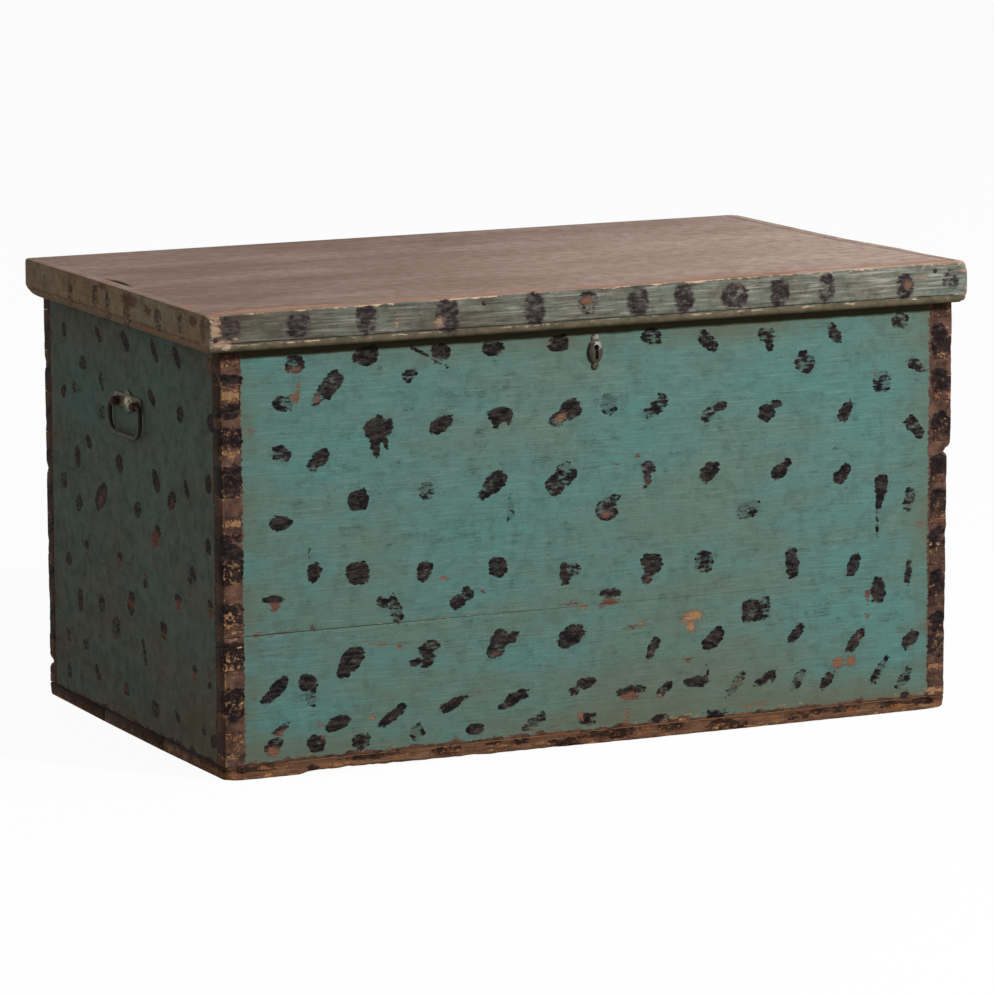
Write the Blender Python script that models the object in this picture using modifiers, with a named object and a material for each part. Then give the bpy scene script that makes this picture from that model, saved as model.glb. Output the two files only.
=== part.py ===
"""A painted pine storage trunk: dovetailed walls, a railed lid on strap hinges, drop handles and a lock.

Metres, +Z up. The trunk stands on z = 0 and faces -Y, with the middle of its footprint at the origin.
"""

import math

import bmesh
import bpy
from mathutils import Matrix, Vector

# Carcass
BODY_WIDTH = 1.100
BODY_DEPTH = 0.660
BODY_HEIGHT = 0.604
WALL_THICK = 0.027
FRONT_SEAM_HEIGHT = 0.1945
SIDE_SEAM_HEIGHT = 0.224
BOTTOM_THICK = 0.019
BOTTOM_PROUD = 0.002
BOTTOM_CORNER_RADIUS = 0.012
BOTTOM_PLANKS = ("bottom_front_plank", "bottom_middle_plank", "bottom_back_plank")

# Dovetails: the tails are on the side walls, the pins on the front and back
TAIL_PITCH = 0.058
TAIL_WIDTH = 0.030
TAIL_FLARE = 0.125

# Lid
LID_THICK = 0.026
LID_SEAM_FROM_FRONT = 0.300
BACK_OVERHANG = 0.020
RAIL_HEIGHT = 0.050
RAIL_THICK = 0.018
RAIL_CLEARANCE = 0.002
BEAD_RADIUS = 0.005
QUIRK_WIDTH = 0.002
QUIRK_DEPTH = 0.0025
HEEL_LENGTH = 0.065
HEEL_RISE = 0.022

# Strap hinges
HINGE_OFFSET = 0.330
STRAP_WIDTH = 0.036
STRAP_NECK = 0.022
STRAP_LENGTH = 0.300
STRAP_THICK = 0.0035
LEAF_LENGTH = 0.150
LEAF_THICK = 0.003
FINIAL_RADIUS = 0.016
KNUCKLE_RADIUS = 0.0063
MIDDLE_KNUCKLE = 0.014
HINGE_PIN_RADIUS = 0.003
HINGE_PIN_HEAD = 0.0046

# Lock
KEY_DROP = 0.053
KEYHOLE_RADIUS = 0.0038
KEYHOLE_SLOT = 0.005
KEYHOLE_DROP = 0.0165
ESCUTCHEON_WIDTH = 0.024
ESCUTCHEON_BODY = 0.034
ESCUTCHEON_HEIGHT = 0.050
ESCUTCHEON_DOME = 0.007
LOBE_RADIUS = 0.0058
LOBE_DOME = 0.004
LOCK_HEIGHT = 0.080
LOCK_PLATE_THICK = 0.0025
LOCK_PLATE_MARGIN = 0.010
LOCK_TOP_DROP = 0.006
CASE_ROOM = 0.0025
CASE_END_ROOM = 0.0065
CASE_WALL = 0.0015
BOLT_LENGTH = 0.074
BOLT_HEIGHT = 0.012
BOLT_THICK = 0.006
BOLT_ABOVE_KEY = 0.017
BOLT_TRAVEL = 0.014
BOLT_TALON = 0.008
BOLT_TALON_DEPTH = 0.004
KEEPER_WIDTH = 0.008
KEEPER_WALL = 0.004
KEY_POST_RADIUS = 0.0022
STAPLE_OFFSET = 0.031
STAPLE_WIDTH = 0.016
STAPLE_BAR = 0.004
STAPLE_SWAY = 0.003
STAPLE_PLATE_LENGTH = 0.044
STAPLE_PLATE_THICK = 0.003
SPRING_THICK = 0.0012
SPRING_WIDTH = 0.006
SPRING_LENGTH = 0.030
SPRING_FLAT = 0.2

# Handles
HANDLE_DROP = 0.137
HANDLE_PLATE_WIDTH = 0.104
HANDLE_PLATE_END = 0.018
HANDLE_PLATE_BELLY = 0.015
HANDLE_PLATE_THICK = 0.0025
HANDLE_BOSS_RADIUS = 0.007
HANDLE_BOSS_DOME = 0.0037
HANDLE_PLATE_RISE = 0.003
POST_SPACING = 0.072
POST_REACH = 0.0042
POST_HEIGHT = 0.012
POST_SHOULDER = 0.0065
POST_RADIUS = 0.0065
POST_FOOT_RADIUS = 0.0075
POST_FOOT_HEIGHT = 0.0014
BAIL_WIDTH = 0.118
BAIL_DROP = 0.046
BAIL_RADIUS = 0.003
BAIL_SHOULDER = 0.009
BAIL_CORNER = 0.022

# Fits
GAP = 0.0003
RUNNING_GAP = 0.0006
CUT_MARGIN = 0.006
MERGE_GAP = 0.00001

# How finely curves are cut
ROUND_STEPS = 24
SMALL_STEPS = 16
CURVE_STEPS = 8
BAIL_FACETS = 3
SMOOTH_ANGLE = 35
SLANT = math.sqrt(0.5)

# Places worked out from the sizes
FRONT_Y = -BODY_DEPTH / 2 + (RAIL_CLEARANCE + RAIL_THICK - BACK_OVERHANG) / 2
BACK_Y = FRONT_Y + BODY_DEPTH
SIDE_X = BODY_WIDTH / 2
WALL_BASE = BOTTOM_THICK + GAP
LID_BASE = BODY_HEIGHT + GAP
LID_TOP = LID_BASE + LID_THICK
RAIL_BASE = LID_TOP - RAIL_HEIGHT
RAIL_IN_X = SIDE_X + RAIL_CLEARANCE
RAIL_IN_Y = FRONT_Y - RAIL_CLEARANCE
LID_BACK_Y = BACK_Y + BACK_OVERHANG
STRAP_TOP = LID_BASE - GAP
HINGE_Y = BACK_Y + GAP + KNUCKLE_RADIUS
HINGE_Z = STRAP_TOP - KNUCKLE_RADIUS
KEY_HEIGHT = BODY_HEIGHT - KEY_DROP
LOCK_TOP = BODY_HEIGHT - LOCK_TOP_DROP
LOCK_BASE = LOCK_TOP - LOCK_HEIGHT
PLATE_Y = FRONT_Y + WALL_THICK + GAP
CASE_Y = PLATE_Y + LOCK_PLATE_THICK + GAP
CASE_DEPTH = STAPLE_WIDTH + 2 * STAPLE_SWAY + CASE_WALL + CASE_ROOM
BOLT_Y = CASE_Y + STAPLE_SWAY + STAPLE_WIDTH / 2
BOLT_Z = KEY_HEIGHT + BOLT_ABOVE_KEY
BOLT_TIP = STAPLE_OFFSET - STAPLE_BAR / 2 - (BOLT_TRAVEL - STAPLE_BAR) / 2
LOCK_WIDTH = 2 * (BOLT_LENGTH - BOLT_TIP + CASE_WALL + CASE_END_ROOM)
HANDLE_HEIGHT = BODY_HEIGHT - HANDLE_DROP
PIVOT_REACH = GAP + HANDLE_PLATE_THICK + POST_REACH


def clear_scene():
    for item in list(bpy.data.objects):
        bpy.data.objects.remove(item, do_unlink=True)


def collection(name):
    made = bpy.data.collections.new(name)
    bpy.context.scene.collection.children.link(made)
    return made


def finish(name, colour, roughness, metallic=0.0):
    coat = bpy.data.materials.new(name)
    coat.use_nodes = True
    shader = coat.node_tree.nodes["Principled BSDF"]
    shader.inputs["Base Color"].default_value = (*colour, 1.0)
    shader.inputs["Roughness"].default_value = roughness
    shader.inputs["Metallic"].default_value = metallic
    return coat


def put(name, data, place, coat=None, carrier=None):
    """Adds a part of the trunk, or a cutter when it has no coat."""
    piece = bpy.data.objects.new(name, data)
    if coat:
        TRUNK.objects.link(piece)
        data.materials.append(coat)
    else:
        CUTTERS.objects.link(piece)
        piece.hide_render = True
        piece.display_type = "WIRE"
    piece.parent = carrier
    piece.location = Vector(place) - (carrier.location if carrier else Vector())
    return piece


def axis_empty(name, place):
    marker = bpy.data.objects.new(name, None)
    marker.location = place
    TRUNK.objects.link(marker)
    return marker


def to_mesh(name, bm, smooth=False):
    mesh = bpy.data.meshes.new(name)
    bm.to_mesh(mesh)
    bm.free()
    if smooth:
        mesh.shade_smooth()
        mesh.set_sharp_from_angle(angle=math.radians(SMOOTH_ANGLE))
    return mesh


def box_verts(bm, low, high):
    """A box between two corners, added to a bmesh."""
    low = Vector(low)
    high = Vector(high)
    size = Matrix.Diagonal((high - low).to_4d())
    return bmesh.ops.create_cube(bm, size=1.0, matrix=Matrix.Translation((low + high) / 2) @ size)["verts"]


def block(name, low, high, coat=None, carrier=None):
    """A board or bar between two corners, with its origin at its middle."""
    middle = (Vector(low) + Vector(high)) / 2
    bm = bmesh.new()
    box_verts(bm, Vector(low) - middle, Vector(high) - middle)
    return put(name, to_mesh(name, bm), middle, coat, carrier)


def rod(name, radius, length, place, axis, coat=None, carrier=None, steps=ROUND_STEPS):
    """A cylinder about its middle, along X, Y or Z."""
    turn = Matrix()
    if axis == "X":
        turn = Matrix.Rotation(math.pi / 2, 4, "Y")
    if axis == "Y":
        turn = Matrix.Rotation(math.pi / 2, 4, "X")
    bm = bmesh.new()
    bmesh.ops.create_cone(
        bm, cap_ends=True, segments=steps, radius1=radius, radius2=radius, depth=length, matrix=turn
    )
    return put(name, to_mesh(name, bm, smooth=True), place, coat, carrier)


def dome(name, half_sizes, place):
    """An ellipsoid, used to build up rounded iron."""
    bm = bmesh.new()
    shape = Matrix.Diagonal((*half_sizes, 1.0))
    bmesh.ops.create_uvsphere(
        bm, u_segments=SMALL_STEPS, v_segments=CURVE_STEPS, radius=1.0, matrix=shape
    )
    return put(name, to_mesh(name, bm), place)


def turned(name, profile, place, turn, coat):
    """A profile of (radius, height) points, listed from the top down, spun about its own Z."""
    bm = bmesh.new()
    points = [bm.verts.new((radius, 0.0, height)) for radius, height in profile]
    for first, second in zip(points, points[1:]):
        bm.edges.new((first, second))
    mesh = bpy.data.meshes.new(name)
    bm.to_mesh(mesh)
    bm.free()
    piece = put(name, mesh, place, coat)
    piece.rotation_euler = turn
    spin = piece.modifiers.new("spin", "SCREW")
    spin.steps = SMALL_STEPS
    spin.render_steps = SMALL_STEPS
    spin.use_merge_vertices = True
    spin.merge_threshold = MERGE_GAP
    return piece


def combine(piece, tool, operation="DIFFERENCE"):
    step = piece.modifiers.new(f"{operation.lower()} {tool.name}", "BOOLEAN")
    step.operation = operation
    step.object = tool


def round_corners(piece, radius, end):
    """Rounds a board's two upright corners at its front (-1) or back (1) end."""
    bm = bmesh.new()
    bm.from_mesh(piece.data)
    corners = []
    for edge in bm.edges:
        first, second = (vert.co for vert in edge.verts)
        if abs(first.z - second.z) > GAP and end * first.y > 0:
            corners.append(edge)
    bmesh.ops.bevel(bm, geom=corners, offset=radius, segments=CURVE_STEPS, profile=0.5, affect="EDGES")
    bm.to_mesh(piece.data)
    bm.free()


def tail_heights():
    """The middle height of each tail, spread evenly up the wall."""
    wall = BODY_HEIGHT - WALL_BASE
    count = round(wall / TAIL_PITCH)
    return [WALL_BASE + (index + 0.5) * wall / count for index in range(count)]


def half_tail(depth):
    """Half of a tail's width at a depth below the front or back face: it is widest at the face."""
    return TAIL_WIDTH / 2 + TAIL_FLARE * (WALL_THICK / 2 - depth)


def flared_box(bm, x_range, y_face, inward, depths, edges):
    """A box whose lower and upper faces follow two edge functions of the depth below a wall's face."""
    y_ends = [y_face + inward * depth for depth in depths]
    for vert in box_verts(bm, (min(x_range), min(y_ends), 0.0), (max(x_range), max(y_ends), 1.0)):
        vert.co.z = edges[round(vert.co.z)](inward * (vert.co.y - y_face))


def corner_cutters(side, end):
    """Sockets for one corner: the tails' are cut from front and back, the pins' from the sides."""
    y_face = FRONT_Y if end < 0 else BACK_Y
    tag = f"{'left' if side < 0 else 'right'}_{'front' if end < 0 else 'back'}"
    past = side * (SIDE_X + CUT_MARGIN)
    inner = side * (SIDE_X - WALL_THICK)
    heights = tail_heights()

    sockets = bmesh.new()
    for middle in heights:
        lower = lambda depth, z=middle: z - half_tail(depth) - GAP
        upper = lambda depth, z=middle: z + half_tail(depth) + GAP
        depths = (-CUT_MARGIN, WALL_THICK + CUT_MARGIN)
        flared_box(sockets, (past, inner - side * GAP), y_face, -end, depths, (lower, upper))
    tail_tool = put(f"tail_sockets_{tag}", to_mesh("tail_sockets", sockets), (0, 0, 0))

    gaps = bmesh.new()
    below = [None] + heights
    above = heights + [None]
    for under, over in zip(below, above):
        if under is None:
            lower = lambda depth: WALL_BASE - CUT_MARGIN
        else:
            lower = lambda depth, z=under: z + half_tail(depth)
        if over is None:
            upper = lambda depth: BODY_HEIGHT + CUT_MARGIN
        else:
            upper = lambda depth, z=over: z - half_tail(depth)
        depths = (-CUT_MARGIN, WALL_THICK + GAP)
        flared_box(gaps, (past, inner - side * CUT_MARGIN), y_face, -end, depths, (lower, upper))
    pin_tool = put(f"pin_sockets_{tag}", to_mesh("pin_sockets", gaps), (0, 0, 0))
    return tail_tool, pin_tool


def walls():
    """Eight planks, two to each wall, locked by dovetails at the corners."""
    corners = {(side, end): corner_cutters(side, end) for side in (-1, 1) for end in (-1, 1)}
    front_split = (WALL_BASE, FRONT_SEAM_HEIGHT - GAP / 2, FRONT_SEAM_HEIGHT + GAP / 2, BODY_HEIGHT)
    side_split = (WALL_BASE, SIDE_SEAM_HEIGHT - GAP / 2, SIDE_SEAM_HEIGHT + GAP / 2, BODY_HEIGHT)
    planks = {}
    for name, end in (("front", -1), ("back", 1)):
        near = FRONT_Y if end < 0 else BACK_Y - WALL_THICK
        for level, low, high in (("lower", *front_split[:2]), ("upper", *front_split[2:])):
            plank = block(
                f"{name}_{level}_plank",
                (-SIDE_X, near, low),
                (SIDE_X, near + WALL_THICK, high),
                PAINTED_PINE,
            )
            for side in (-1, 1):
                combine(plank, corners[side, end][0])
            planks[name, level] = plank
    for name, side in (("left", -1), ("right", 1)):
        near = -SIDE_X if side < 0 else SIDE_X - WALL_THICK
        for level, low, high in (("lower", *side_split[:2]), ("upper", *side_split[2:])):
            plank = block(
                f"{name}_{level}_plank",
                (near, FRONT_Y, low),
                (near + WALL_THICK, BACK_Y, high),
                PAINTED_PINE,
            )
            for end in (-1, 1):
                combine(plank, corners[side, end][1])
            planks[name, level] = plank
    return planks


def bottom():
    """Three planks nailed up from below, with their edges in view and the outer corners rounded."""
    half_x = SIDE_X + BOTTOM_PROUD
    start = FRONT_Y - BOTTOM_PROUD
    share = (BODY_DEPTH + 2 * BOTTOM_PROUD) / len(BOTTOM_PLANKS)
    for index, name in enumerate(BOTTOM_PLANKS):
        low = start + index * share + (GAP / 2 if index else 0.0)
        high = start + (index + 1) * share - (GAP / 2 if index < len(BOTTOM_PLANKS) - 1 else 0.0)
        plank = block(name, (-half_x, low, 0.0), (half_x, high, BOTTOM_THICK), BARE_PINE)
        if index == 0:
            round_corners(plank, BOTTOM_CORNER_RADIUS, -1)
        if index == len(BOTTOM_PLANKS) - 1:
            round_corners(plank, BOTTOM_CORNER_RADIUS, 1)


def rail_section():
    """Depth from the outer face and height from the foot: a flat face, a quirk and a bead at the foot."""
    bead_top = 2 * BEAD_RADIUS
    start = math.acos(1 - QUIRK_DEPTH / BEAD_RADIUS)
    section = [(RAIL_THICK, RAIL_HEIGHT), (0.0, RAIL_HEIGHT), (0.0, bead_top + QUIRK_WIDTH)]
    section.append((QUIRK_DEPTH, bead_top + QUIRK_WIDTH))
    for index in range(CURVE_STEPS + 1):
        angle = start - (start + math.pi / 2) * index / CURVE_STEPS
        section.append((BEAD_RADIUS * (1 - math.cos(angle)), BEAD_RADIUS * (1 + math.sin(angle))))
    section.append((RAIL_THICK, 0.0))
    return section


def rail(name, length, mitres, frame):
    """The moulded section run along its length, with each end square (0) or mitred (1)."""
    bm = bmesh.new()
    ring = [bm.verts.new((0.0, depth, height)) for depth, height in rail_section()]
    face = bm.faces.new(ring)
    grown = bmesh.ops.extrude_face_region(bm, geom=[face])["geom"]
    far = [item for item in grown if isinstance(item, bmesh.types.BMVert)]
    for vert in far:
        vert.co.x = length - mitres[1] * vert.co.y
    for vert in ring:
        vert.co.x = mitres[0] * vert.co.y
    bmesh.ops.transform(bm, matrix=frame, verts=bm.verts)
    place = frame.translation.copy()
    bmesh.ops.translate(bm, vec=-place, verts=bm.verts)
    bmesh.ops.recalc_face_normals(bm, faces=bm.faces)
    return put(name, to_mesh(name, bm), place, PAINTED_PINE, LID)


def heel_cutter():
    """The waste off the back lower corner of a side rail, which is eased so that the lid can tip back."""
    bm = bmesh.new()
    outline = [(LID_BACK_Y + CUT_MARGIN, RAIL_BASE - CUT_MARGIN)]
    outline.append((LID_BACK_Y + CUT_MARGIN, RAIL_BASE + HEEL_RISE))
    for index in range(CURVE_STEPS + 1):
        angle = math.pi / 2 * index / CURVE_STEPS
        y = LID_BACK_Y - HEEL_LENGTH * (1 - math.cos(angle))
        z = RAIL_BASE + HEEL_RISE * (1 - math.sin(angle))
        outline.append((y, z))
    outline.append((LID_BACK_Y - HEEL_LENGTH, RAIL_BASE - CUT_MARGIN))
    reach = RAIL_IN_X + RAIL_THICK + CUT_MARGIN
    ring = [bm.verts.new((-reach, y, z)) for y, z in outline]
    face = bm.faces.new(ring)
    grown = bmesh.ops.extrude_face_region(bm, geom=[face])["geom"]
    far = [item for item in grown if isinstance(item, bmesh.types.BMVert)]
    bmesh.ops.translate(bm, vec=(2 * reach, 0.0, 0.0), verts=far)
    bmesh.ops.recalc_face_normals(bm, faces=bm.faces)
    return put("rail_heels", to_mesh("rail_heels", bm), (0, 0, 0))


def lid():
    """Two planks inside three mitred rails that drop over the top of the walls."""
    half_x = RAIL_IN_X - GAP
    seam = RAIL_IN_Y - RAIL_THICK + LID_SEAM_FROM_FRONT
    front_ends = (RAIL_IN_Y + GAP, seam - GAP / 2)
    back_ends = (seam + GAP / 2, LID_BACK_Y)
    for name, (near, far) in (("lid_front_plank", front_ends), ("lid_back_plank", back_ends)):
        block(name, (-half_x, near, LID_BASE), (half_x, far, LID_TOP), LID_PINE, LID)

    outer_x = RAIL_IN_X + RAIL_THICK
    outer_y = RAIL_IN_Y - RAIL_THICK
    along_x = Matrix.Translation((-outer_x + GAP, outer_y, RAIL_BASE))
    rail("lid_front_rail", 2 * (outer_x - GAP), (1, 1), along_x)
    heels = heel_cutter()
    for name, side in (("lid_left_rail", -1), ("lid_right_rail", 1)):
        along_y = Matrix(((0, -side, 0), (1, 0, 0), (0, 0, 1))).to_4x4()
        corner = Matrix.Translation((side * outer_x, outer_y, RAIL_BASE))
        side_rail = rail(name, LID_BACK_Y - outer_y, (1, 0), corner @ along_y)
        combine(side_rail, heels)


def tapered_plate(name, low, high, along, carrier=None):
    """A flat iron between two corners, that narrows from STRAP_WIDTH to its low end along one axis."""
    middle = (Vector(low) + Vector(high)) / 2
    bm = bmesh.new()
    for vert in box_verts(bm, Vector(low) - middle, Vector(high) - middle):
        if vert.co[along] < 0:
            vert.co.x *= STRAP_NECK / STRAP_WIDTH
    return put(name, to_mesh(name, bm), middle, IRON, carrier)


def hinge(name, x, back_planks):
    """A strap under the lid and a leaf down the back, whose knuckles share one pin."""
    bore = rod(f"{name}_bore", HINGE_PIN_RADIUS + GAP, 2 * STRAP_WIDTH, (x, HINGE_Y, HINGE_Z), "X")
    strap_low = STRAP_TOP - STRAP_THICK
    strap_end = HINGE_Y - STRAP_LENGTH
    half_strap = STRAP_WIDTH / 2
    strap = tapered_plate(
        f"{name}_lid_strap",
        (x - half_strap, strap_end, strap_low),
        (x + half_strap, HINGE_Y, STRAP_TOP),
        1,
        LID,
    )
    strap_middle_z = (strap_low + STRAP_TOP) / 2
    tip = rod(f"{name}_strap_tip", FINIAL_RADIUS, STRAP_THICK, (x, strap_end, strap_middle_z), "Z")
    barrel = rod(f"{name}_strap_barrel", KNUCKLE_RADIUS, MIDDLE_KNUCKLE, (x, HINGE_Y, HINGE_Z), "X")
    for side in (-1, 1):
        inner = x + side * MIDDLE_KNUCKLE / 2
        outer = x + side * STRAP_WIDTH
        clear = block(
            f"{name}_strap_shoulder_{'left' if side < 0 else 'right'}",
            (min(inner, outer), HINGE_Y - KNUCKLE_RADIUS - RUNNING_GAP, strap_low - CUT_MARGIN),
            (max(inner, outer), HINGE_Y + KNUCKLE_RADIUS + CUT_MARGIN, STRAP_TOP + CUT_MARGIN),
        )
        combine(strap, clear)
    combine(strap, tip, "UNION")
    combine(strap, barrel, "UNION")
    combine(strap, bore)

    leaf_end = HINGE_Z - LEAF_LENGTH
    leaf_near = BACK_Y + GAP
    leaf = tapered_plate(
        f"{name}_hinge_leaf",
        (x - half_strap, leaf_near, leaf_end),
        (x + half_strap, leaf_near + LEAF_THICK, HINGE_Z),
        2,
    )
    leaf_middle_y = leaf_near + LEAF_THICK / 2
    leaf_tip = rod(f"{name}_leaf_tip", FINIAL_RADIUS, LEAF_THICK, (x, leaf_middle_y, leaf_end), "Y")
    combine(leaf, leaf_tip, "UNION")
    leaf_barrel = rod(f"{name}_leaf_barrel", KNUCKLE_RADIUS, STRAP_WIDTH, (x, HINGE_Y, HINGE_Z), "X")
    combine(leaf, leaf_barrel, "UNION")
    half_slot = MIDDLE_KNUCKLE / 2 + RUNNING_GAP / 2
    slot = block(
        f"{name}_knuckle_slot",
        (x - half_slot, leaf_near - CUT_MARGIN, HINGE_Z - KNUCKLE_RADIUS - RUNNING_GAP),
        (x + half_slot, HINGE_Y + KNUCKLE_RADIUS + CUT_MARGIN, STRAP_TOP + CUT_MARGIN),
    )
    combine(leaf, slot)
    combine(leaf, bore)

    half_pin = half_strap + GAP
    head = HINGE_PIN_HEAD - HINGE_PIN_RADIUS
    profile = [
        (0.0, half_pin + head),
        (HINGE_PIN_HEAD * SLANT, half_pin + head * SLANT),
        (HINGE_PIN_HEAD, half_pin),
        (HINGE_PIN_RADIUS, half_pin),
        (HINGE_PIN_RADIUS, -half_pin),
        (HINGE_PIN_HEAD, -half_pin),
        (HINGE_PIN_HEAD * SLANT, -half_pin - head * SLANT),
        (0.0, -half_pin - head),
    ]
    turned(f"{name}_hinge_pin", profile, (x, HINGE_Y, HINGE_Z), (0.0, math.pi / 2, 0.0), IRON)

    half_notch = half_strap + RUNNING_GAP
    notch = block(
        f"{name}_strap_notch",
        (x - half_notch, BACK_Y - WALL_THICK - CUT_MARGIN, strap_low - RUNNING_GAP),
        (x + half_notch, BACK_Y + CUT_MARGIN, BODY_HEIGHT + CUT_MARGIN),
    )
    for plank in back_planks:
        combine(plank, notch)


def keyhole_cutters():
    """A round hole with a slot below it, long enough to pass through wall, escutcheon and lock plate."""
    near = FRONT_Y - ESCUTCHEON_DOME - CUT_MARGIN
    far = CASE_Y
    middle = (near + far) / 2
    eye = rod("keyhole_eye", KEYHOLE_RADIUS, far - near, (0, middle, KEY_HEIGHT), "Y", steps=SMALL_STEPS)
    half = KEYHOLE_SLOT / 2
    slot = block("keyhole_slot", (-half, near, KEY_HEIGHT - KEYHOLE_DROP), (half, far, KEY_HEIGHT))
    return eye, slot


def escutcheon(keyhole):
    """A cast iron oval boss with a round lobe above and below, open at the keyhole."""
    face = FRONT_Y - GAP
    middle = KEY_HEIGHT + KEYHOLE_RADIUS - (KEYHOLE_RADIUS + KEYHOLE_DROP) / 2
    shield_half = (ESCUTCHEON_WIDTH / 2, ESCUTCHEON_DOME, ESCUTCHEON_BODY / 2)
    shield = dome("escutcheon_shield", shield_half, (0, face, middle))
    reach = ESCUTCHEON_HEIGHT / 2 - LOBE_RADIUS
    half_x = ESCUTCHEON_WIDTH / 2 + CUT_MARGIN
    half_z = ESCUTCHEON_HEIGHT / 2 + CUT_MARGIN
    neck = LOBE_RADIUS / 2
    plate = block(
        "escutcheon",
        (-neck, face - LOBE_DOME / 2, middle - reach),
        (neck, face, middle + reach),
        IRON,
    )
    combine(plate, shield, "UNION")
    lobe_half = (LOBE_RADIUS, LOBE_DOME, LOBE_RADIUS)
    for name, side in (("upper", 1), ("lower", -1)):
        lobe = dome(f"escutcheon_{name}_lobe", lobe_half, (0, face, middle + side * reach))
        combine(plate, lobe, "UNION")
    behind = block(
        "escutcheon_seat",
        (-half_x, face, middle - half_z),
        (half_x, face + ESCUTCHEON_DOME + CUT_MARGIN, middle + half_z),
    )
    combine(plate, behind)
    for tool in keyhole:
        combine(plate, tool)


def lock(keyhole):
    """A plate inside the front wall carries keepers and bolt, under a case that holds spring and post."""
    half = LOCK_WIDTH / 2
    edge = LOCK_PLATE_MARGIN
    plate = block(
        "lock_plate",
        (-half - edge, PLATE_Y, LOCK_BASE - edge),
        (half + edge, PLATE_Y + LOCK_PLATE_THICK, LOCK_TOP),
        IRON,
    )
    for tool in keyhole:
        combine(plate, tool)

    case_back = CASE_Y + CASE_DEPTH
    case = block("lock_case", (-half, CASE_Y, LOCK_BASE), (half, case_back, LOCK_TOP), IRON)
    room = block(
        "lock_case_room",
        (-half + CASE_WALL, CASE_Y - CUT_MARGIN, LOCK_BASE + CASE_WALL),
        (half - CASE_WALL, case_back - CASE_WALL, LOCK_TOP - CASE_WALL),
    )
    combine(case, room)
    half_slot_x = STAPLE_BAR / 2 + STAPLE_SWAY
    half_slot_y = STAPLE_WIDTH / 2 + STAPLE_SWAY - GAP
    mouth = block(
        "lock_case_mouth",
        (STAPLE_OFFSET - half_slot_x, BOLT_Y - half_slot_y, LOCK_TOP - CASE_WALL - CUT_MARGIN / 2),
        (STAPLE_OFFSET + half_slot_x, BOLT_Y + half_slot_y, LOCK_TOP + CUT_MARGIN),
    )
    combine(case, mouth)

    half_z = BOLT_HEIGHT / 2
    half_y = BOLT_THICK / 2
    bolt = block(
        "lock_bolt",
        (BOLT_TIP - BOLT_LENGTH, BOLT_Y - half_y, BOLT_Z - half_z),
        (BOLT_TIP, BOLT_Y + half_y, BOLT_Z + half_z),
        IRON,
        BOLT_SLIDE,
    )
    talon_x = -BOLT_TRAVEL / 2
    half_talon = BOLT_TALON / 2
    talon_reach = half_y + CUT_MARGIN
    bolt_foot = BOLT_Z - half_z
    talon = block(
        "bolt_talon",
        (talon_x - half_talon, BOLT_Y - talon_reach, bolt_foot - CUT_MARGIN),
        (talon_x + half_talon, BOLT_Y + talon_reach, bolt_foot + BOLT_TALON_DEPTH),
    )
    combine(bolt, talon)

    channel = block(
        "keeper_channel",
        (-LOCK_WIDTH, BOLT_Y - half_y - GAP, BOLT_Z - half_z - GAP),
        (LOCK_WIDTH, BOLT_Y + half_y + GAP, BOLT_Z + half_z + GAP),
    )
    keeper_back = BOLT_Y + half_y + GAP + KEEPER_WALL
    right_x = BOLT_TIP - KEEPER_WIDTH - RUNNING_GAP
    left_x = BOLT_TIP - BOLT_LENGTH + BOLT_TRAVEL + RUNNING_GAP
    for name, low_x in (("bolt_keeper_left", left_x), ("bolt_keeper_right", right_x)):
        keeper = block(
            name,
            (low_x, CASE_Y, BOLT_Z - half_z - GAP - KEEPER_WALL),
            (low_x + KEEPER_WIDTH, keeper_back, BOLT_Z + half_z + GAP + KEEPER_WALL),
            IRON,
        )
        combine(keeper, channel)

    lock_spring((left_x + right_x + KEEPER_WIDTH) / 2)
    post_length = case_back - CASE_WALL - GAP - CASE_Y
    profile = [
        (0.0, post_length),
        (KEY_POST_RADIUS * SLANT, post_length - KEY_POST_RADIUS * (1 - SLANT)),
        (KEY_POST_RADIUS, post_length - KEY_POST_RADIUS),
        (KEY_POST_RADIUS, KEY_POST_RADIUS),
        (2 * KEY_POST_RADIUS, KEY_POST_RADIUS),
        (2 * KEY_POST_RADIUS, 0.0),
        (0.0, 0.0),
    ]
    turned("key_post", profile, (0, case_back - CASE_WALL - GAP, KEY_HEIGHT), (math.pi / 2, 0.0, 0.0), IRON)


def lock_spring(x):
    """A leaf spring, held under the top of the case, that bows down to press on the bolt."""
    top = LOCK_TOP - CASE_WALL - GAP - SPRING_THICK / 2
    foot = BOLT_Z + BOLT_HEIGHT / 2 + GAP + SPRING_THICK / 2
    bm = bmesh.new()
    rows = []
    for index in range(SMALL_STEPS + 1):
        share = index / SMALL_STEPS
        along = x - SPRING_LENGTH / 2 + SPRING_LENGTH * share
        bent = min(1.0, max(0.0, (share - SPRING_FLAT) / (1 - 2 * SPRING_FLAT)))
        height = foot + (top - foot) * (1 + math.cos(math.pi * bent)) / 2
        near = bm.verts.new((along, BOLT_Y - SPRING_WIDTH / 2, height))
        rows.append((near, bm.verts.new((along, BOLT_Y + SPRING_WIDTH / 2, height))))
    for first, second in zip(rows, rows[1:]):
        bm.faces.new((first[0], second[0], second[1], first[1]))
    leaf = put("lock_spring", to_mesh("lock_spring", bm), (0, 0, 0), IRON)
    thick = leaf.modifiers.new("thickness", "SOLIDIFY")
    thick.thickness = SPRING_THICK
    thick.offset = 0.0


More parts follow.
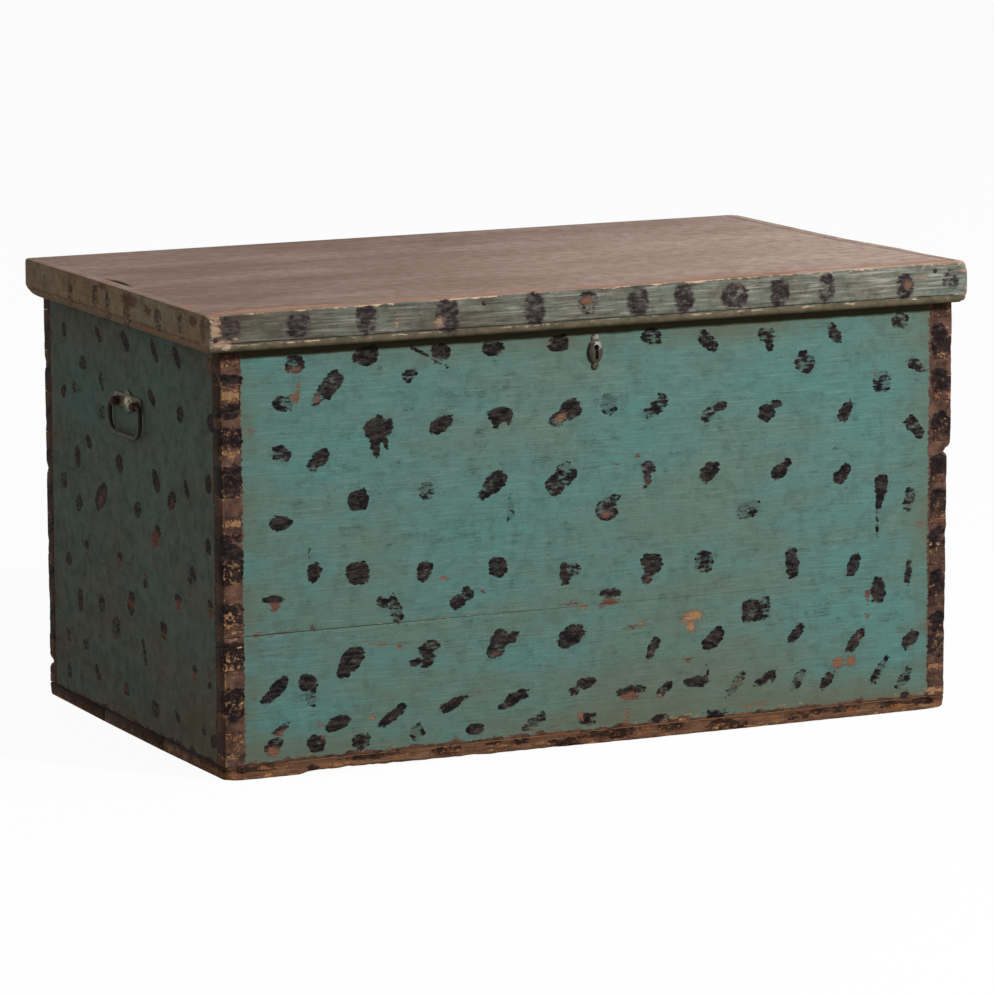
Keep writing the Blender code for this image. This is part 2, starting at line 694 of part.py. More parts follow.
def staple():
    """An iron tongue with an eye for the bolt, on a plate under the lid."""
    plate_top = LID_BASE - GAP
    plate_low = plate_top - STAPLE_PLATE_THICK
    half_x = STAPLE_BAR / 2
    half_y = STAPLE_WIDTH / 2
    eye_half = BOLT_HEIGHT / 2 + RUNNING_GAP
    low = BOLT_Z - eye_half - STAPLE_BAR
    tongue = block(
        "lock_staple",
        (STAPLE_OFFSET - half_x, BOLT_Y - half_y, low),
        (STAPLE_OFFSET + half_x, BOLT_Y + half_y, plate_top),
        IRON,
        LID,
    )
    plate = block(
        "staple_plate",
        (STAPLE_OFFSET - STAPLE_PLATE_LENGTH / 2, BOLT_Y - half_y, plate_low),
        (STAPLE_OFFSET + STAPLE_PLATE_LENGTH / 2, BOLT_Y + half_y, plate_top),
    )
    combine(tongue, plate, "UNION")
    eye = block(
        "staple_eye",
        (STAPLE_OFFSET - half_x - CUT_MARGIN, BOLT_Y - BOLT_THICK / 2 - RUNNING_GAP, BOLT_Z - eye_half),
        (STAPLE_OFFSET + half_x + CUT_MARGIN, BOLT_Y + BOLT_THICK / 2 + RUNNING_GAP, BOLT_Z + eye_half),
    )
    combine(tongue, eye)


def arc(middle, radius, first, last):
    """Points on part of a circle in the Y-Z plane, from one angle to another in degrees."""
    points = []
    for index in range(CURVE_STEPS + 1):
        turn = math.radians(first + (last - first) * index / CURVE_STEPS)
        points.append((middle[0] + radius * math.cos(turn), middle[1] + radius * math.sin(turn)))
    return points


def bail_route():
    """Half of the bail, from its end in the eye round the shoulder and the lower corner to the middle."""
    half = BAIL_WIDTH / 2 - BAIL_RADIUS
    drop = BAIL_DROP - BAIL_RADIUS
    start = [(POST_SPACING / 2 - POST_FOOT_RADIUS, 0.0)]
    shoulder = arc((half - BAIL_SHOULDER, -BAIL_SHOULDER), BAIL_SHOULDER, 90, 0)
    corner = arc((half - BAIL_CORNER, BAIL_CORNER - drop), BAIL_CORNER, 0, -90)
    return start + shoulder + corner


def handle(name, side, axis):
    """A lobed plate with two posts, bored across for a bail that hangs from them."""
    wall = side * SIDE_X
    pivot = side * (SIDE_X + PIVOT_REACH)
    plate_x = wall + side * (GAP + HANDLE_PLATE_THICK / 2)
    middle_z = HANDLE_HEIGHT + HANDLE_PLATE_RISE
    middle_y = (FRONT_Y + BACK_Y) / 2
    half = HANDLE_PLATE_WIDTH / 2 - HANDLE_PLATE_END / 2
    half_thick = HANDLE_PLATE_THICK / 2
    plate = block(
        f"{name}_handle_plate",
        (plate_x - half_thick, middle_y - half, middle_z - HANDLE_PLATE_END / 2),
        (plate_x + half_thick, middle_y + half, middle_z + HANDLE_PLATE_END / 2),
        IRON,
    )
    for end in (-1, 1):
        tag = "front" if end < 0 else "back"
        lobe = rod(
            f"{name}_plate_{tag}_lobe",
            HANDLE_PLATE_END / 2,
            HANDLE_PLATE_THICK,
            (plate_x, middle_y + end * half, middle_z),
            "X",
        )
        combine(plate, lobe, "UNION")
    middle = (plate_x, middle_y, middle_z)
    belly = rod(f"{name}_plate_belly", HANDLE_PLATE_BELLY, HANDLE_PLATE_THICK, middle, "X")
    combine(plate, belly, "UNION")
    boss_half = (HANDLE_PLATE_THICK / 2 + HANDLE_BOSS_DOME, HANDLE_BOSS_RADIUS, HANDLE_BOSS_RADIUS)
    boss = dome(f"{name}_plate_boss", boss_half, middle)
    combine(plate, boss, "UNION")
    back_ends = (wall + side * GAP, wall - side * WALL_THICK)
    behind = block(
        f"{name}_plate_seat",
        (min(back_ends), middle_y - HANDLE_PLATE_WIDTH, middle_z - HANDLE_PLATE_WIDTH),
        (max(back_ends), middle_y + HANDLE_PLATE_WIDTH, middle_z + HANDLE_PLATE_WIDTH),
    )
    combine(plate, behind)

    seat = wall + side * (2 * GAP + HANDLE_PLATE_THICK)
    profile = post_profile()
    bores = rod(
        f"{name}_post_bores",
        BAIL_RADIUS + GAP,
        POST_SPACING * 2,
        (pivot, middle_y, HANDLE_HEIGHT),
        "Y",
        steps=SMALL_STEPS,
    )
    for end in (-1, 1):
        tag = "front" if end < 0 else "back"
        post = turned(
            f"{name}_{tag}_post",
            profile,
            (seat, middle_y + end * POST_SPACING / 2, HANDLE_HEIGHT),
            (0.0, side * math.pi / 2, 0.0),
            IRON,
        )
        combine(post, bores)

    half_route = bail_route()
    route = half_route + [(-y, z) for y, z in reversed(half_route)]
    bend = bpy.data.curves.new(f"{name}_bail", "CURVE")
    bend.dimensions = "3D"
    bend.bevel_depth = BAIL_RADIUS
    bend.bevel_resolution = BAIL_FACETS
    bend.use_fill_caps = True
    line = bend.splines.new("POLY")
    line.points.add(len(route) - 1)
    for point, (y, z) in zip(line.points, route):
        point.co = (0.0, y, z, 1.0)
    put(f"{name}_bail", bend, axis.location, IRON, axis)


def post_profile():
    """A turned post: a foot on the plate and a body with a domed end, listed from its tip to its foot."""
    rise = POST_HEIGHT - POST_SHOULDER
    profile = []
    for index in range(CURVE_STEPS + 1):
        angle = math.pi / 2 * index / CURVE_STEPS
        profile.append((POST_RADIUS * math.sin(angle), POST_SHOULDER + rise * math.cos(angle)))
    profile.append((POST_RADIUS, POST_FOOT_HEIGHT))
    profile.append((POST_FOOT_RADIUS, POST_FOOT_HEIGHT))
    profile.append((POST_FOOT_RADIUS, 0.0))
    profile.append((0.0, 0.0))
    return profile


clear_scene()
TRUNK = collection("storage_trunk")
CUTTERS = collection("storage_trunk_cutters")
PAINTED_PINE = finish("teal painted pine", (0.110, 0.190, 0.170), 0.6)
LID_PINE = finish("worn brown painted pine", (0.160, 0.105, 0.085), 0.55)
BARE_PINE = finish("bare worn pine", (0.180, 0.095, 0.050), 0.8)
IRON = finish("rusted iron", (0.035, 0.030, 0.026), 0.65, 0.8)
LID = axis_empty("lid_hinge_axis", (0, HINGE_Y, HINGE_Z))
BOLT_SLIDE = axis_empty("bolt_slide_axis", (BOLT_TIP - BOLT_LENGTH / 2, BOLT_Y, BOLT_Z))
PLANKS = walls()
bottom()
lid()
for hinge_name, hinge_x in (("left", -HINGE_OFFSET), ("right", HINGE_OFFSET)):
    hinge(hinge_name, hinge_x, [PLANKS["back", "upper"]])
KEYHOLE = keyhole_cutters()
for tool in KEYHOLE:
    combine(PLANKS["front", "upper"], tool)
escutcheon(KEYHOLE)
lock(KEYHOLE)
staple()
for handle_name, handle_side in (("left", -1), ("right", 1)):
    pivot_x = handle_side * (SIDE_X + PIVOT_REACH)
    swing = axis_empty(f"{handle_name}_bail_axis", (pivot_x, (FRONT_Y + BACK_Y) / 2, HANDLE_HEIGHT))
    handle(handle_name, handle_side, swing)
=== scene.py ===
import math
import random
import bpy
import numpy as np
from mathutils import Matrix, Vector, noise


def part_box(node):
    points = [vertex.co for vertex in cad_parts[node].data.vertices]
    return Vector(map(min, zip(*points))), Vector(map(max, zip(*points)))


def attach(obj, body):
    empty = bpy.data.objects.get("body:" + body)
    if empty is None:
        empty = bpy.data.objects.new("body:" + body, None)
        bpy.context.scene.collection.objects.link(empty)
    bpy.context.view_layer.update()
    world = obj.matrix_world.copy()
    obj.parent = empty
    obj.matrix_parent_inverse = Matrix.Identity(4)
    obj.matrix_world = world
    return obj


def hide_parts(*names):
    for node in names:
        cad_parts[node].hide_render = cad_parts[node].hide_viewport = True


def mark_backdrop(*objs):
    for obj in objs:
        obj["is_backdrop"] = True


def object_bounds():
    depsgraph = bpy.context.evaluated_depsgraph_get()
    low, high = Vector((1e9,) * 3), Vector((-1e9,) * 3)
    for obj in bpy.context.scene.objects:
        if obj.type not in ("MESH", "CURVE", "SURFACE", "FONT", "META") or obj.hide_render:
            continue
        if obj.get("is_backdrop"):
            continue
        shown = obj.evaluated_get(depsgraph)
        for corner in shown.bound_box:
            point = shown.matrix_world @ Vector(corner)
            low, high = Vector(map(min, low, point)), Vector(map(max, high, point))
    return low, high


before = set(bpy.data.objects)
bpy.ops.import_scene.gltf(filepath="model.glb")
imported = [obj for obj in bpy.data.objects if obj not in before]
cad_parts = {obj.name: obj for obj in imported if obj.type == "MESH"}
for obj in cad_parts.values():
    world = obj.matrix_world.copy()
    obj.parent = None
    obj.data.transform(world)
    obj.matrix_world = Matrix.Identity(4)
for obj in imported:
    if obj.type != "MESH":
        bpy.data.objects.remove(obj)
cad_low, cad_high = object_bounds()


# Front and back planks
# Two pine boards 27 mm thick to each wall, one above the other, with the pins of the corner dovetails sawn
# in their ends. They were painted teal when the carcass stood, dabbed with dark brown, and have worn since.

ALONG_X, ALONG_Y, UPRIGHT = 0, 1, 2
CARCASS_HALF = (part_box("left_upper_plank")[0].x * -1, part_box("front_upper_plank")[0].y * -1)
WALL_FOOT, WALL_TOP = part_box("front_lower_plank")[0].z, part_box("front_upper_plank")[1].z
WALL_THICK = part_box("front_upper_plank")[1].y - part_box("front_upper_plank")[0].y
STRIP_WIDTH = 0.029  # brown brushed over the corner joints
EASED_EDGE = 0.0006
RAIL_SHADE = 0.5685  # above this height the wall is painted dark as the shadow of the lid's rail
FRONT_STEP, BACK_STEP = 0.004, 0.008  # how close the cuts lie that give wear its points
STRETCH_X, STRETCH_Y = (0.06, 1, 1), (1, 0.06, 1)  # patterns drawn out along a board's grain
FLAT_SHADING = math.radians(38)  # edges sharper than this stay sharp to the eye

# The dabs of the front, read from the photo: place from the keyhole's upright and above the floor, length,
# width (all mm), lean in degrees from level, and how far flaked (0 whole, 1 nearly gone).
FRONT_DABS = [
    (-443, 556, 25, 23, 0, 0.5), (-459, 504, 28, 17, -5, 0.5), (-392, 525, 40, 24, 45, 0.1),
    (-410, 509, 20, 14, 40, 0.7), (-341, 561, 36, 25, 0, 0.1), (-276, 531, 24, 13, 45, 0.6),
    (-231, 558, 28, 20, -10, 0.1), (-326, 462, 34, 30, 30, 0.0), (-311, 463, 18, 24, 0, 0.3),
    (-327, 438, 12, 28, 3, 0.0), (-313, 446, 7, 14, 10, 0.0), (-230, 461, 34, 19, 18, 0.1),
    (-464, 437, 26, 18, -15, 0.4), (-407, 428, 24, 20, 45, 0.1), (-418, 418, 18, 14, 45, 0.2),
    (-353, 367, 28, 28, 0, 0.1), (-253, 372, 22, 22, 20, 0.7), (-467, 345, 28, 17, -6, 0.1),
    (-153, 559, 29, 17, -10, 0.4), (-54, 560, 30, 21, 0, 0.4), (-142, 467, 34, 20, -5, 0.1),
    (-148, 457, 9, 12, 0, 0.0), (-130, 458, 9, 10, 0, 0.0), (-36, 468, 28, 26, 40, 0.1),
    (-53, 458, 26, 16, 35, 0.7), (22, 471, 25, 26, 0, 0.8), (89, 459, 38, 15, 32, 0.6),
    (102, 470, 12, 18, 0, 0.5), (-151, 376, 36, 24, 38, 0.3), (-166, 363, 20, 12, 35, 0.7),
    (-44, 381, 30, 28, 50, 0.7), (-60, 365, 26, 28, -60, 0.3), (80, 380, 22, 17, 0, 0.1),
    (80, 365, 11, 24, 0, 0.1), (18, 325, 32, 26, -10, 0.4), (22, 338, 26, 10, 15, 0.8),
    (-128, 336, 9, 30, 0, 0.9), (87, 560, 26, 20, 0, 0.6), (172, 549, 34, 17, -45, 0.6),
    (264, 551, 24, 17, 0, 0.6), (268, 540, 10, 16, 0, 0.3), (372, 544, 22, 15, -50, 0.2),
    (364, 556, 10, 10, -50, 0.5), (474, 557, 24, 20, 0, 0.5), (324, 508, 30, 27, -30, 0.45),
    (446, 473, 27, 27, 0, 0.7), (502, 493, 34, 14, -33, 0.4), (172, 445, 22, 17, 20, 0.6),
    (191, 456, 18, 12, 10, 0.2), (264, 443, 24, 20, 35, 0.2), (278, 453, 20, 10, 20, 0.1),
    (387, 433, 26, 17, 52, 0.15), (397, 445, 6, 7, 0, 0.0), (495, 410, 22, 18, -50, 0.4),
    (506, 396, 14, 13, 0, 0.5), (174, 365, 28, 22, 42, 0.0), (185, 374, 8, 8, 40, 0.0),
    (286, 360, 26, 17, 40, 0.05), (296, 371, 8, 10, 40, 0.0), (381, 344, 22, 17, 30, 0.1),
    (390, 354, 12, 12, 40, 0.3), (446, 328, 20, 28, 0, 0.0), (443, 307, 8, 20, 0, 0.0),
    (491, 303, 33, 16, 80, 0.5), (236, 309, 34, 24, 20, 0.75), (-467, 66, 22, 8, 28, 0.1),
    (-418, 274, 24, 18, 60, 0.05), (-425, 296, 3, 13, 0, 0.2), (-355, 268, 33, 30, 0, 0.0),
    (-257, 262, 27, 18, 70, 0.2), (-477, 242, 22, 9, 0, 0.0), (-300, 213, 36, 16, -75, 0.5),
    (-318, 224, 16, 14, -60, 0.6), (-194, 226, 18, 16, 0, 0.5), (-208, 216, 20, 18, 30, 0.15),
    (-365, 151, 36, 28, 40, 0.1), (-376, 137, 22, 16, 60, 0.2), (-251, 156, 30, 18, 25, 0.4),
    (-252, 141, 22, 16, 50, 0.3), (-270, 138, 16, 7, 10, 0.1), (-476, 118, 40, 15, 43, 0.0),
    (-429, 124, 26, 22, -30, 0.05), (-425, 106, 24, 14, -60, 0.85), (-386, 66, 36, 17, 12, 0.0),
    (-306, 68, 33, 13, 34, 0.3), (-215, 77, 39, 12, 22, 0.05), (-480, 42, 24, 16, 35, 0.6),
    (-418, 41, 23, 22, 0, 0.15), (-352, 37, 24, 21, 0, 0.4), (-270, 42, 20, 20, 30, 0.6),
    (-181, 38, 23, 16, 0, 0.2), (-147, 259, 25, 25, 0, 0.1), (-46, 243, 16, 32, 0, 0.1),
    (-36, 246, 22, 18, 0, 0.6), (86, 245, 30, 26, 0, 0.1), (81, 228, 22, 16, 50, 0.3),
    (167, 241, 28, 28, 0, 0.6), (22, 209, 30, 14, 0, 0.3), (-145, 160, 28, 24, 40, 0.0),
    (-130, 160, 26, 14, 10, 0.0), (-151, 143, 26, 18, 15, 0.3), (-36, 154, 40, 26, 25, 0.1),
    (88, 126, 31, 13, 62, 0.0), (-123, 75, 42, 15, 28, 0.0), (-15, 87, 28, 15, 8, 0.05),
    (-31, 78, 16, 11, 25, 0.1), (53, 70, 36, 12, 3, 0.2), (106, 67, 26, 10, 38, 0.5),
    (156, 74, 34, 14, 4, 0.05), (-94, 39, 30, 13, 32, 0.6), (-12, 36, 28, 13, 0, 0.4),
    (305, 229, 20, 40, 4, 0.1), (402, 216, 30, 16, 62, 0.1), (442, 178, 21, 34, 2, 0.05),
    (490, 200, 9, 28, -8, 0.3), (242, 166, 30, 32, 0, 0.2), (260, 168, 20, 30, 0, 0.7),
    (181, 131, 33, 20, 40, 0.0), (311, 127, 31, 13, 52, 0.05), (404, 107, 38, 16, 52, 0.15),
    (494, 104, 30, 18, 45, 0.05), (216, 63, 34, 13, 48, 0.75), (260, 67, 30, 11, 30, 0.35),
    (274, 73, 9, 14, 0, 0.2), (315, 61, 32, 13, 55, 0.7), (362, 57, 29, 13, 52, 0.1),
    (444, 62, 33, 12, 55, 0.6), (485, 50, 33, 12, 55, 0.7), (485, 25, 14, 12, 20, 0.2),
    (99, 27, 24, 10, 0, 0.4), (189, 24, 30, 10, 0, 0.6), (172, 92, 3, 14, 0, 0.0),
    (440, 282, 2.5, 22, 0, 0.4), (-246, 553, 44, 2.4, -31, 0.5),
]
# Where the front's paint has come away: place, length, width, lean, and what shows (0 red primer, 1 wood).
FRONT_BARE = [
    (-443, 549, 20, 10, 0, 0.2), (-438, 526, 8, 32, 0, 0.4), (-444, 510, 15, 17, 20, 0.4),
    (-412, 508, 14, 9, 30, 0.3), (-53, 456, 22, 12, 35, 0.5), (80, 362, 9, 18, 0, 0.1),
    (16, 320, 20, 12, 0, 0.3), (-32, 328, 8, 4, 0, 1.0), (437, 486, 11, 6, 0, 0.9),
    (-477, 232, 17, 14, 0, 0.1), (-500, 195, 17, 6, 4, 0.5), (-458, 197, 40, 5, 6, 0.4),
    (-421, 199, 11, 9, 0, 0.1), (-314, 168, 38, 4, -10, 0.7), (-293, 163, 8, 10, 0, 0.5),
    (-231, 249, 12, 5, 0, 0.8), (-176, 231, 14, 4, -20, 0.1), (-337, 69, 11, 10, 0, 1.0),
    (-412, 66, 11, 11, 0, 0.7), (-407, 50, 10, 8, 0, 0.3), (-468, 61, 16, 8, 20, 0.2),
    (-481, 34, 20, 15, 0, 0.4), (81, 224, 14, 8, 40, 0.0), (22, 197, 29, 15, 0, 0.15),
    (-152, 139, 20, 9, 20, 0.0), (147, 166, 38, 17, 5, 1.0), (148, 150, 16, 24, 0, 1.0),
    (73, 163, 15, 8, 10, 0.9), (56, 157, 16, 4, 5, 0.2), (-22, 193, 14, 5, 0, 0.9), (-35, 199, 28, 5, 3, 0.1),
    (54, 61, 34, 15, 0, 0.2), (98, 60, 9, 6, 0, 1.0), (48, 36, 8, 26, 0, 0.7), (-24, 40, 10, 14, 0, 0.5),
    (410, 114, 8, 12, 0, 0.4), (217, 64, 16, 5, 48, 0.6), (379, 79, 24, 19, 20, 0.5),
    (399, 81, 20, 18, 0, 0.4), (303, 92, 11, 6, 0, 0.1), (422, 143, 8, 7, 0, 0.0), (342, 30, 14, 6, 20, 0.2),
    (-98, 30, 16, 8, 30, 0.4), (65, 395, 10, 7, 0, 0.2), (32, 388, 12, 4, 0, 0.2), (425, 172, 10, 16, 0, 0.1),
    (-507, 470, 14, 8, 0, 0.6), (145, 105, 12, 5, 0, 0.1), (245, 32, 34, 5, 5, 0.8),
    (508, 268, 9, 10, 0, 0.8), (-378, 292, 8, 4, 0, 0.3),
]

# The corner blocks at the left and right of the front: dark paint kept on them (height above the floor,
# tall, how far flaked) and pale chips (height, tall, what shows), in mm.
LEFT_BLOCK_DABS = [
    (541, 14, 0.1), (498, 18, 0.1), (464, 26, 0.25), (406, 46, 0.1), (302, 66, 0.35), (227, 28, 0.2),
    (172, 34, 0.2), (104, 42, 0.4),
]
LEFT_BLOCK_CHIPS = [
    (565, 7, 0.5), (520, 17, 1.6), (440, 13, 1.6), (348, 10, 1.4), (254, 6, 1.0), (202, 6, 1.2),
    (141, 7, 0.8), (58, 6, 0.8), (43, 6, 0.6),
]
RIGHT_BLOCK_DABS = [
    (529, 42, 0.3), (470, 30, 0.2), (410, 28, 0.3), (350, 28, 0.2), (299, 30, 0.2), (247, 26, 0.3),
    (181, 32, 0.2), (127, 22, 0.3), (91, 30, 0.3),
]
RIGHT_BLOCK_CHIPS = [
    (447, 8, 0.9), (380, 7, 0.8), (270, 7, 0.7), (60, 10, 0.9),
]


def linear(hex_colour):
    """A colour written as sRGB hex, in the linear light that materials work in."""
    parts = [int(hex_colour[i:i + 2], 16) / 255 for i in (1, 3, 5)]
    return tuple(p / 12.92 if p <= 0.04045 else ((p + 0.055) / 1.055) ** 2.4 for p in parts) + (1.0,)


def node(tree, kind, sockets=None, **settings):
    """Adds a node with its settings, fills or links its sockets, and gives back its outputs."""
    made = tree.nodes.new("ShaderNode" + kind)
    for key, value in settings.items():
        setattr(made, key, value)
    for key, value in (sockets or {}).items():
        if isinstance(value, bpy.types.NodeSocket):
            tree.links.new(value, made.inputs[key])
        else:
            made.inputs[key].default_value = value
    return made.outputs


def take_up(piece):
    """Makes the piece the only one that the operators work on."""
    bpy.ops.object.select_all(action="DESELECT")
    bpy.context.view_layer.objects.active = piece
    piece.select_set(True)


def board_from(cad_node, name):
    """A piece with the outline of its CAD solid, each flat side joined up into one face again."""
    piece = bpy.data.objects.new(name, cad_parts[cad_node].data.copy())
    piece.data.name = name
    piece.data.materials.clear()
    bpy.context.scene.collection.objects.link(piece)
    take_up(piece)
    bpy.ops.object.mode_set(mode="EDIT")
    bpy.ops.mesh.select_all(action="SELECT")
    bpy.ops.mesh.remove_doubles(threshold=0.00001)
    bpy.ops.mesh.dissolve_limited(angle_limit=math.radians(0.3))
    bpy.ops.object.mode_set(mode="OBJECT")
    return piece


def ease_edges(piece, width):
    """Rounds every sharp edge of the piece."""
    take_up(piece)
    bpy.ops.object.mode_set(mode="EDIT")
    bpy.ops.mesh.select_mode(type="EDGE")
    bpy.ops.mesh.select_all(action="DESELECT")
    bpy.ops.mesh.edges_select_sharp(sharpness=math.radians(35))
    bpy.ops.mesh.bevel(offset=width, segments=2, affect="EDGES", clamp_overlap=True)
    bpy.ops.object.mode_set(mode="OBJECT")


def set_inside_apart(piece, axis):
    """Hides the faces that look into the trunk, so that they stay whole while the others are cut up."""
    looks_in = -0.05
    bpy.ops.object.mode_set(mode="EDIT")
    bpy.ops.mesh.select_mode(type="FACE")
    bpy.ops.mesh.select_all(action="DESELECT")
    bpy.ops.object.mode_set(mode="OBJECT")
    for face in piece.data.polygons:
        face.select = face.center[axis] * face.normal[axis] < looks_in
    bpy.ops.object.mode_set(mode="EDIT")
    bpy.ops.mesh.hide(unselected=False)
    bpy.ops.object.mode_set(mode="OBJECT")


def show_all(piece):
    """Brings back the faces that were set apart."""
    take_up(piece)
    bpy.ops.object.mode_set(mode="EDIT")
    bpy.ops.mesh.reveal(select=False)
    bpy.ops.object.mode_set(mode="OBJECT")


def score(piece, axis, step, extra=()):
    """Cuts the active piece's faces across one axis at every step, so that wear has points to move."""
    places = [corner[axis] for corner in piece.bound_box]
    low, high = min(places), max(places)
    cuts = int((high - low) / step)
    across = [0, 0, 0]
    across[axis] = 1
    bpy.ops.object.mode_set(mode="EDIT")
    for cut in [low + (high - low) * cut / cuts for cut in range(1, cuts)] + list(extra):
        point = [0, 0, 0]
        point[axis] = cut
        bpy.ops.mesh.select_all(action="SELECT")
        bpy.ops.mesh.bisect(plane_co=point, plane_no=across)
    bpy.ops.object.mode_set(mode="OBJECT")


def points_of(piece):
    """The places of all the piece's points."""
    places = np.empty(len(piece.data.vertices) * 3)
    piece.data.vertices.foreach_get("co", places)
    return places.reshape(-1, 3)


def put_points(piece, places):
    """Moves all the piece's points to the places given."""
    piece.data.vertices.foreach_set("co", places.ravel())
    piece.data.update()


def ripple(places, size, seed, detail=3):
    """Smooth chance values from -1 to 1, which change over about the given size."""
    return np.array([noise.fractal(Vector(p) / size + Vector((seed, -seed, 2 * seed)), 1.0, 2.0, detail)
                     for p in places])


def mark(piece, name, values):
    """Keeps one value per point under a name, for the piece's material to read."""
    piece.data.attributes.new(name, "FLOAT", "POINT").data.foreach_set("value", np.asarray(values, float))


NO_SPOT = 40  # mm outside the nearest spot, where it has no more say
SQUARISH = 2.5  # a spot's outline: 2 is an oval, more is squarer


def mark_spots(piece, spots, run, name, kind):
    """Marks how far in mm each point lies outside the nearest of some leaning spots, and its kind."""
    spots = np.array(spots, float)
    places = points_of(piece) * 1000
    over = places[:, run, None] - spots[:, 0]
    up = places[:, 2, None] - spots[:, 1]
    lean = np.radians(spots[:, 4])
    long_way = (over * np.cos(lean) + up * np.sin(lean)) / spots[:, 2]
    short_way = (up * np.cos(lean) - over * np.sin(lean)) / spots[:, 3]
    far = (abs(long_way) ** SQUARISH + abs(short_way) ** SQUARISH) ** (1 / SQUARISH)
    outside = (far - 0.5) * np.minimum(spots[:, 2], spots[:, 3])
    nearest = outside.argmin(axis=1)
    mark(piece, name, np.clip(outside.min(axis=1), -20, NO_SPOT))
    mark(piece, kind, spots[nearest, 5])


def turned_round(spots, turned, shorter=1):
    """The same spots on this wall (turned 1) or mirrored on the one opposite (-1), shortened if need be."""
    return [(over * turned, up, long * shorter, wide, lean * turned, kind)
            for over, up, long, wide, lean, kind in spots]


def on_block(middle, wide, rows):
    """Spots on a corner block, each as wide as the block."""
    return [(middle, up, wide, tall, 0, kind) for up, tall, kind in rows]


def on_edges(piece):
    """1 at the points of a board's eased edges, 0 on its flat faces."""
    looks = np.empty(len(piece.data.vertices) * 3)
    piece.data.vertex_normals.foreach_get("vector", looks)
    return 1.0 * (abs(looks.reshape(-1, 3)).max(axis=1) < 0.97)


# A joint's groove, from its middle and from the face, and how far under the face its paint lies.
GROOVE_HALF, GROOVE_DEEP, PAINT_UNDER = 0.0016, 0.0012, 0.0001


def fill_seam(places, axis, seam, filled):
    """Levels the joint between two boards as far as paint fills it (1 where it can't be seen)."""
    across = 1 - axis
    face = CARCASS_HALF[across]
    in_joint = (abs(places[:, 2] - seam) < GROOVE_HALF) & (abs(places[:, across]) > face - GROOVE_DEEP)
    level = np.sign(places[:, across]) * (face - PAINT_UNDER)
    places[:, across] += in_joint * filled * (level - places[:, across])
    return places


# Knocks in the uprights: which upright (signs of x and y), height, half height and depth in metres.
KNOCKS = [
    (1, -1, 0.370, 0.005, 0.0045), (1, -1, 0.512, 0.004, 0.001), (1, -1, 0.247, 0.006, 0.001),
    (1, -1, 0.120, 0.004, 0.0012), (-1, -1, 0.452, 0.006, 0.002), (-1, -1, 0.290, 0.005, 0.0025),
    (-1, -1, 0.160, 0.007, 0.002), (-1, 1, 0.050, 0.004, 0.007), (-1, 1, 0.330, 0.006, 0.002),
    (-1, 1, 0.480, 0.005, 0.0015), (1, 1, 0.210, 0.006, 0.003), (1, 1, 0.420, 0.005, 0.002),
]
# How deep the uprights are rubbed at least, how much more in places, and how far in rubs and knocks reach.
RUBBED_LEAST, RUBBED_MORE, RUB_REACH, KNOCK_REACH = 0.0006, 0.0011, 0.005, 0.010
# How far the front right upright has sprung outwards, and the break that it has sprung above.
CORNER_SPRUNG, BREAK_HEIGHT = 0.008, 0.368


def wear_corners(places):
    """Rubs and knocks back the carcass's four uprights, tails and pins alike."""
    inward = np.stack([CARCASS_HALF[0] - abs(places[:, 0]), CARCASS_HALF[1] - abs(places[:, 1])], axis=1)
    far = (inward ** 2).sum(axis=1)
    uneven = np.clip(ripple(places, 0.02, 1) + 0.1, 0, 1)
    lost = np.exp(-far / RUB_REACH ** 2) * (RUBBED_LEAST + RUBBED_MORE * uneven)
    for side, face, height, half, depth in KNOCKS:
        here = (places[:, 0] * side > 0) & (places[:, 1] * face > 0)
        lost += here * depth * np.exp(-far / KNOCK_REACH ** 2 - ((places[:, 2] - height) / half) ** 2)
    for axis in (ALONG_X, ALONG_Y):
        places[:, axis] -= np.sign(places[:, axis]) * lost
    # The front right corner has sprung outwards above a break.
    above = 0.25 + 0.75 * np.clip((places[:, 2] - BREAK_HEIGHT) / 0.004, 0, 1)
    near = (np.clip((places[:, 0] - 0.48) / 0.06, 0, 1)
            * np.exp(-((places[:, 1] + CARCASS_HALF[1]) / 0.08) ** 2))
    places[:, 0] += CORNER_SPRUNG * near * above * np.clip((places[:, 2] - 0.1) / 0.2, 0, 1)
    return places


# How far apart the paint's marks lie, in mm. The craze is really finer: it is drawn as coarse as it needs to
# show.
GRAIN_LINES, CRAZE, FADED_CLOUDS, MOTTLING, FLAKES, SPECKS = 3.0, 11.0, 110.0, 17.0, 4.5, 1.8


def empty_material(name):
    """A new material with nothing in it yet, and its node tree."""
    material = bpy.data.materials.new(name)
    material.use_nodes = True
    material.node_tree.nodes.clear()
    return material, material.node_tree


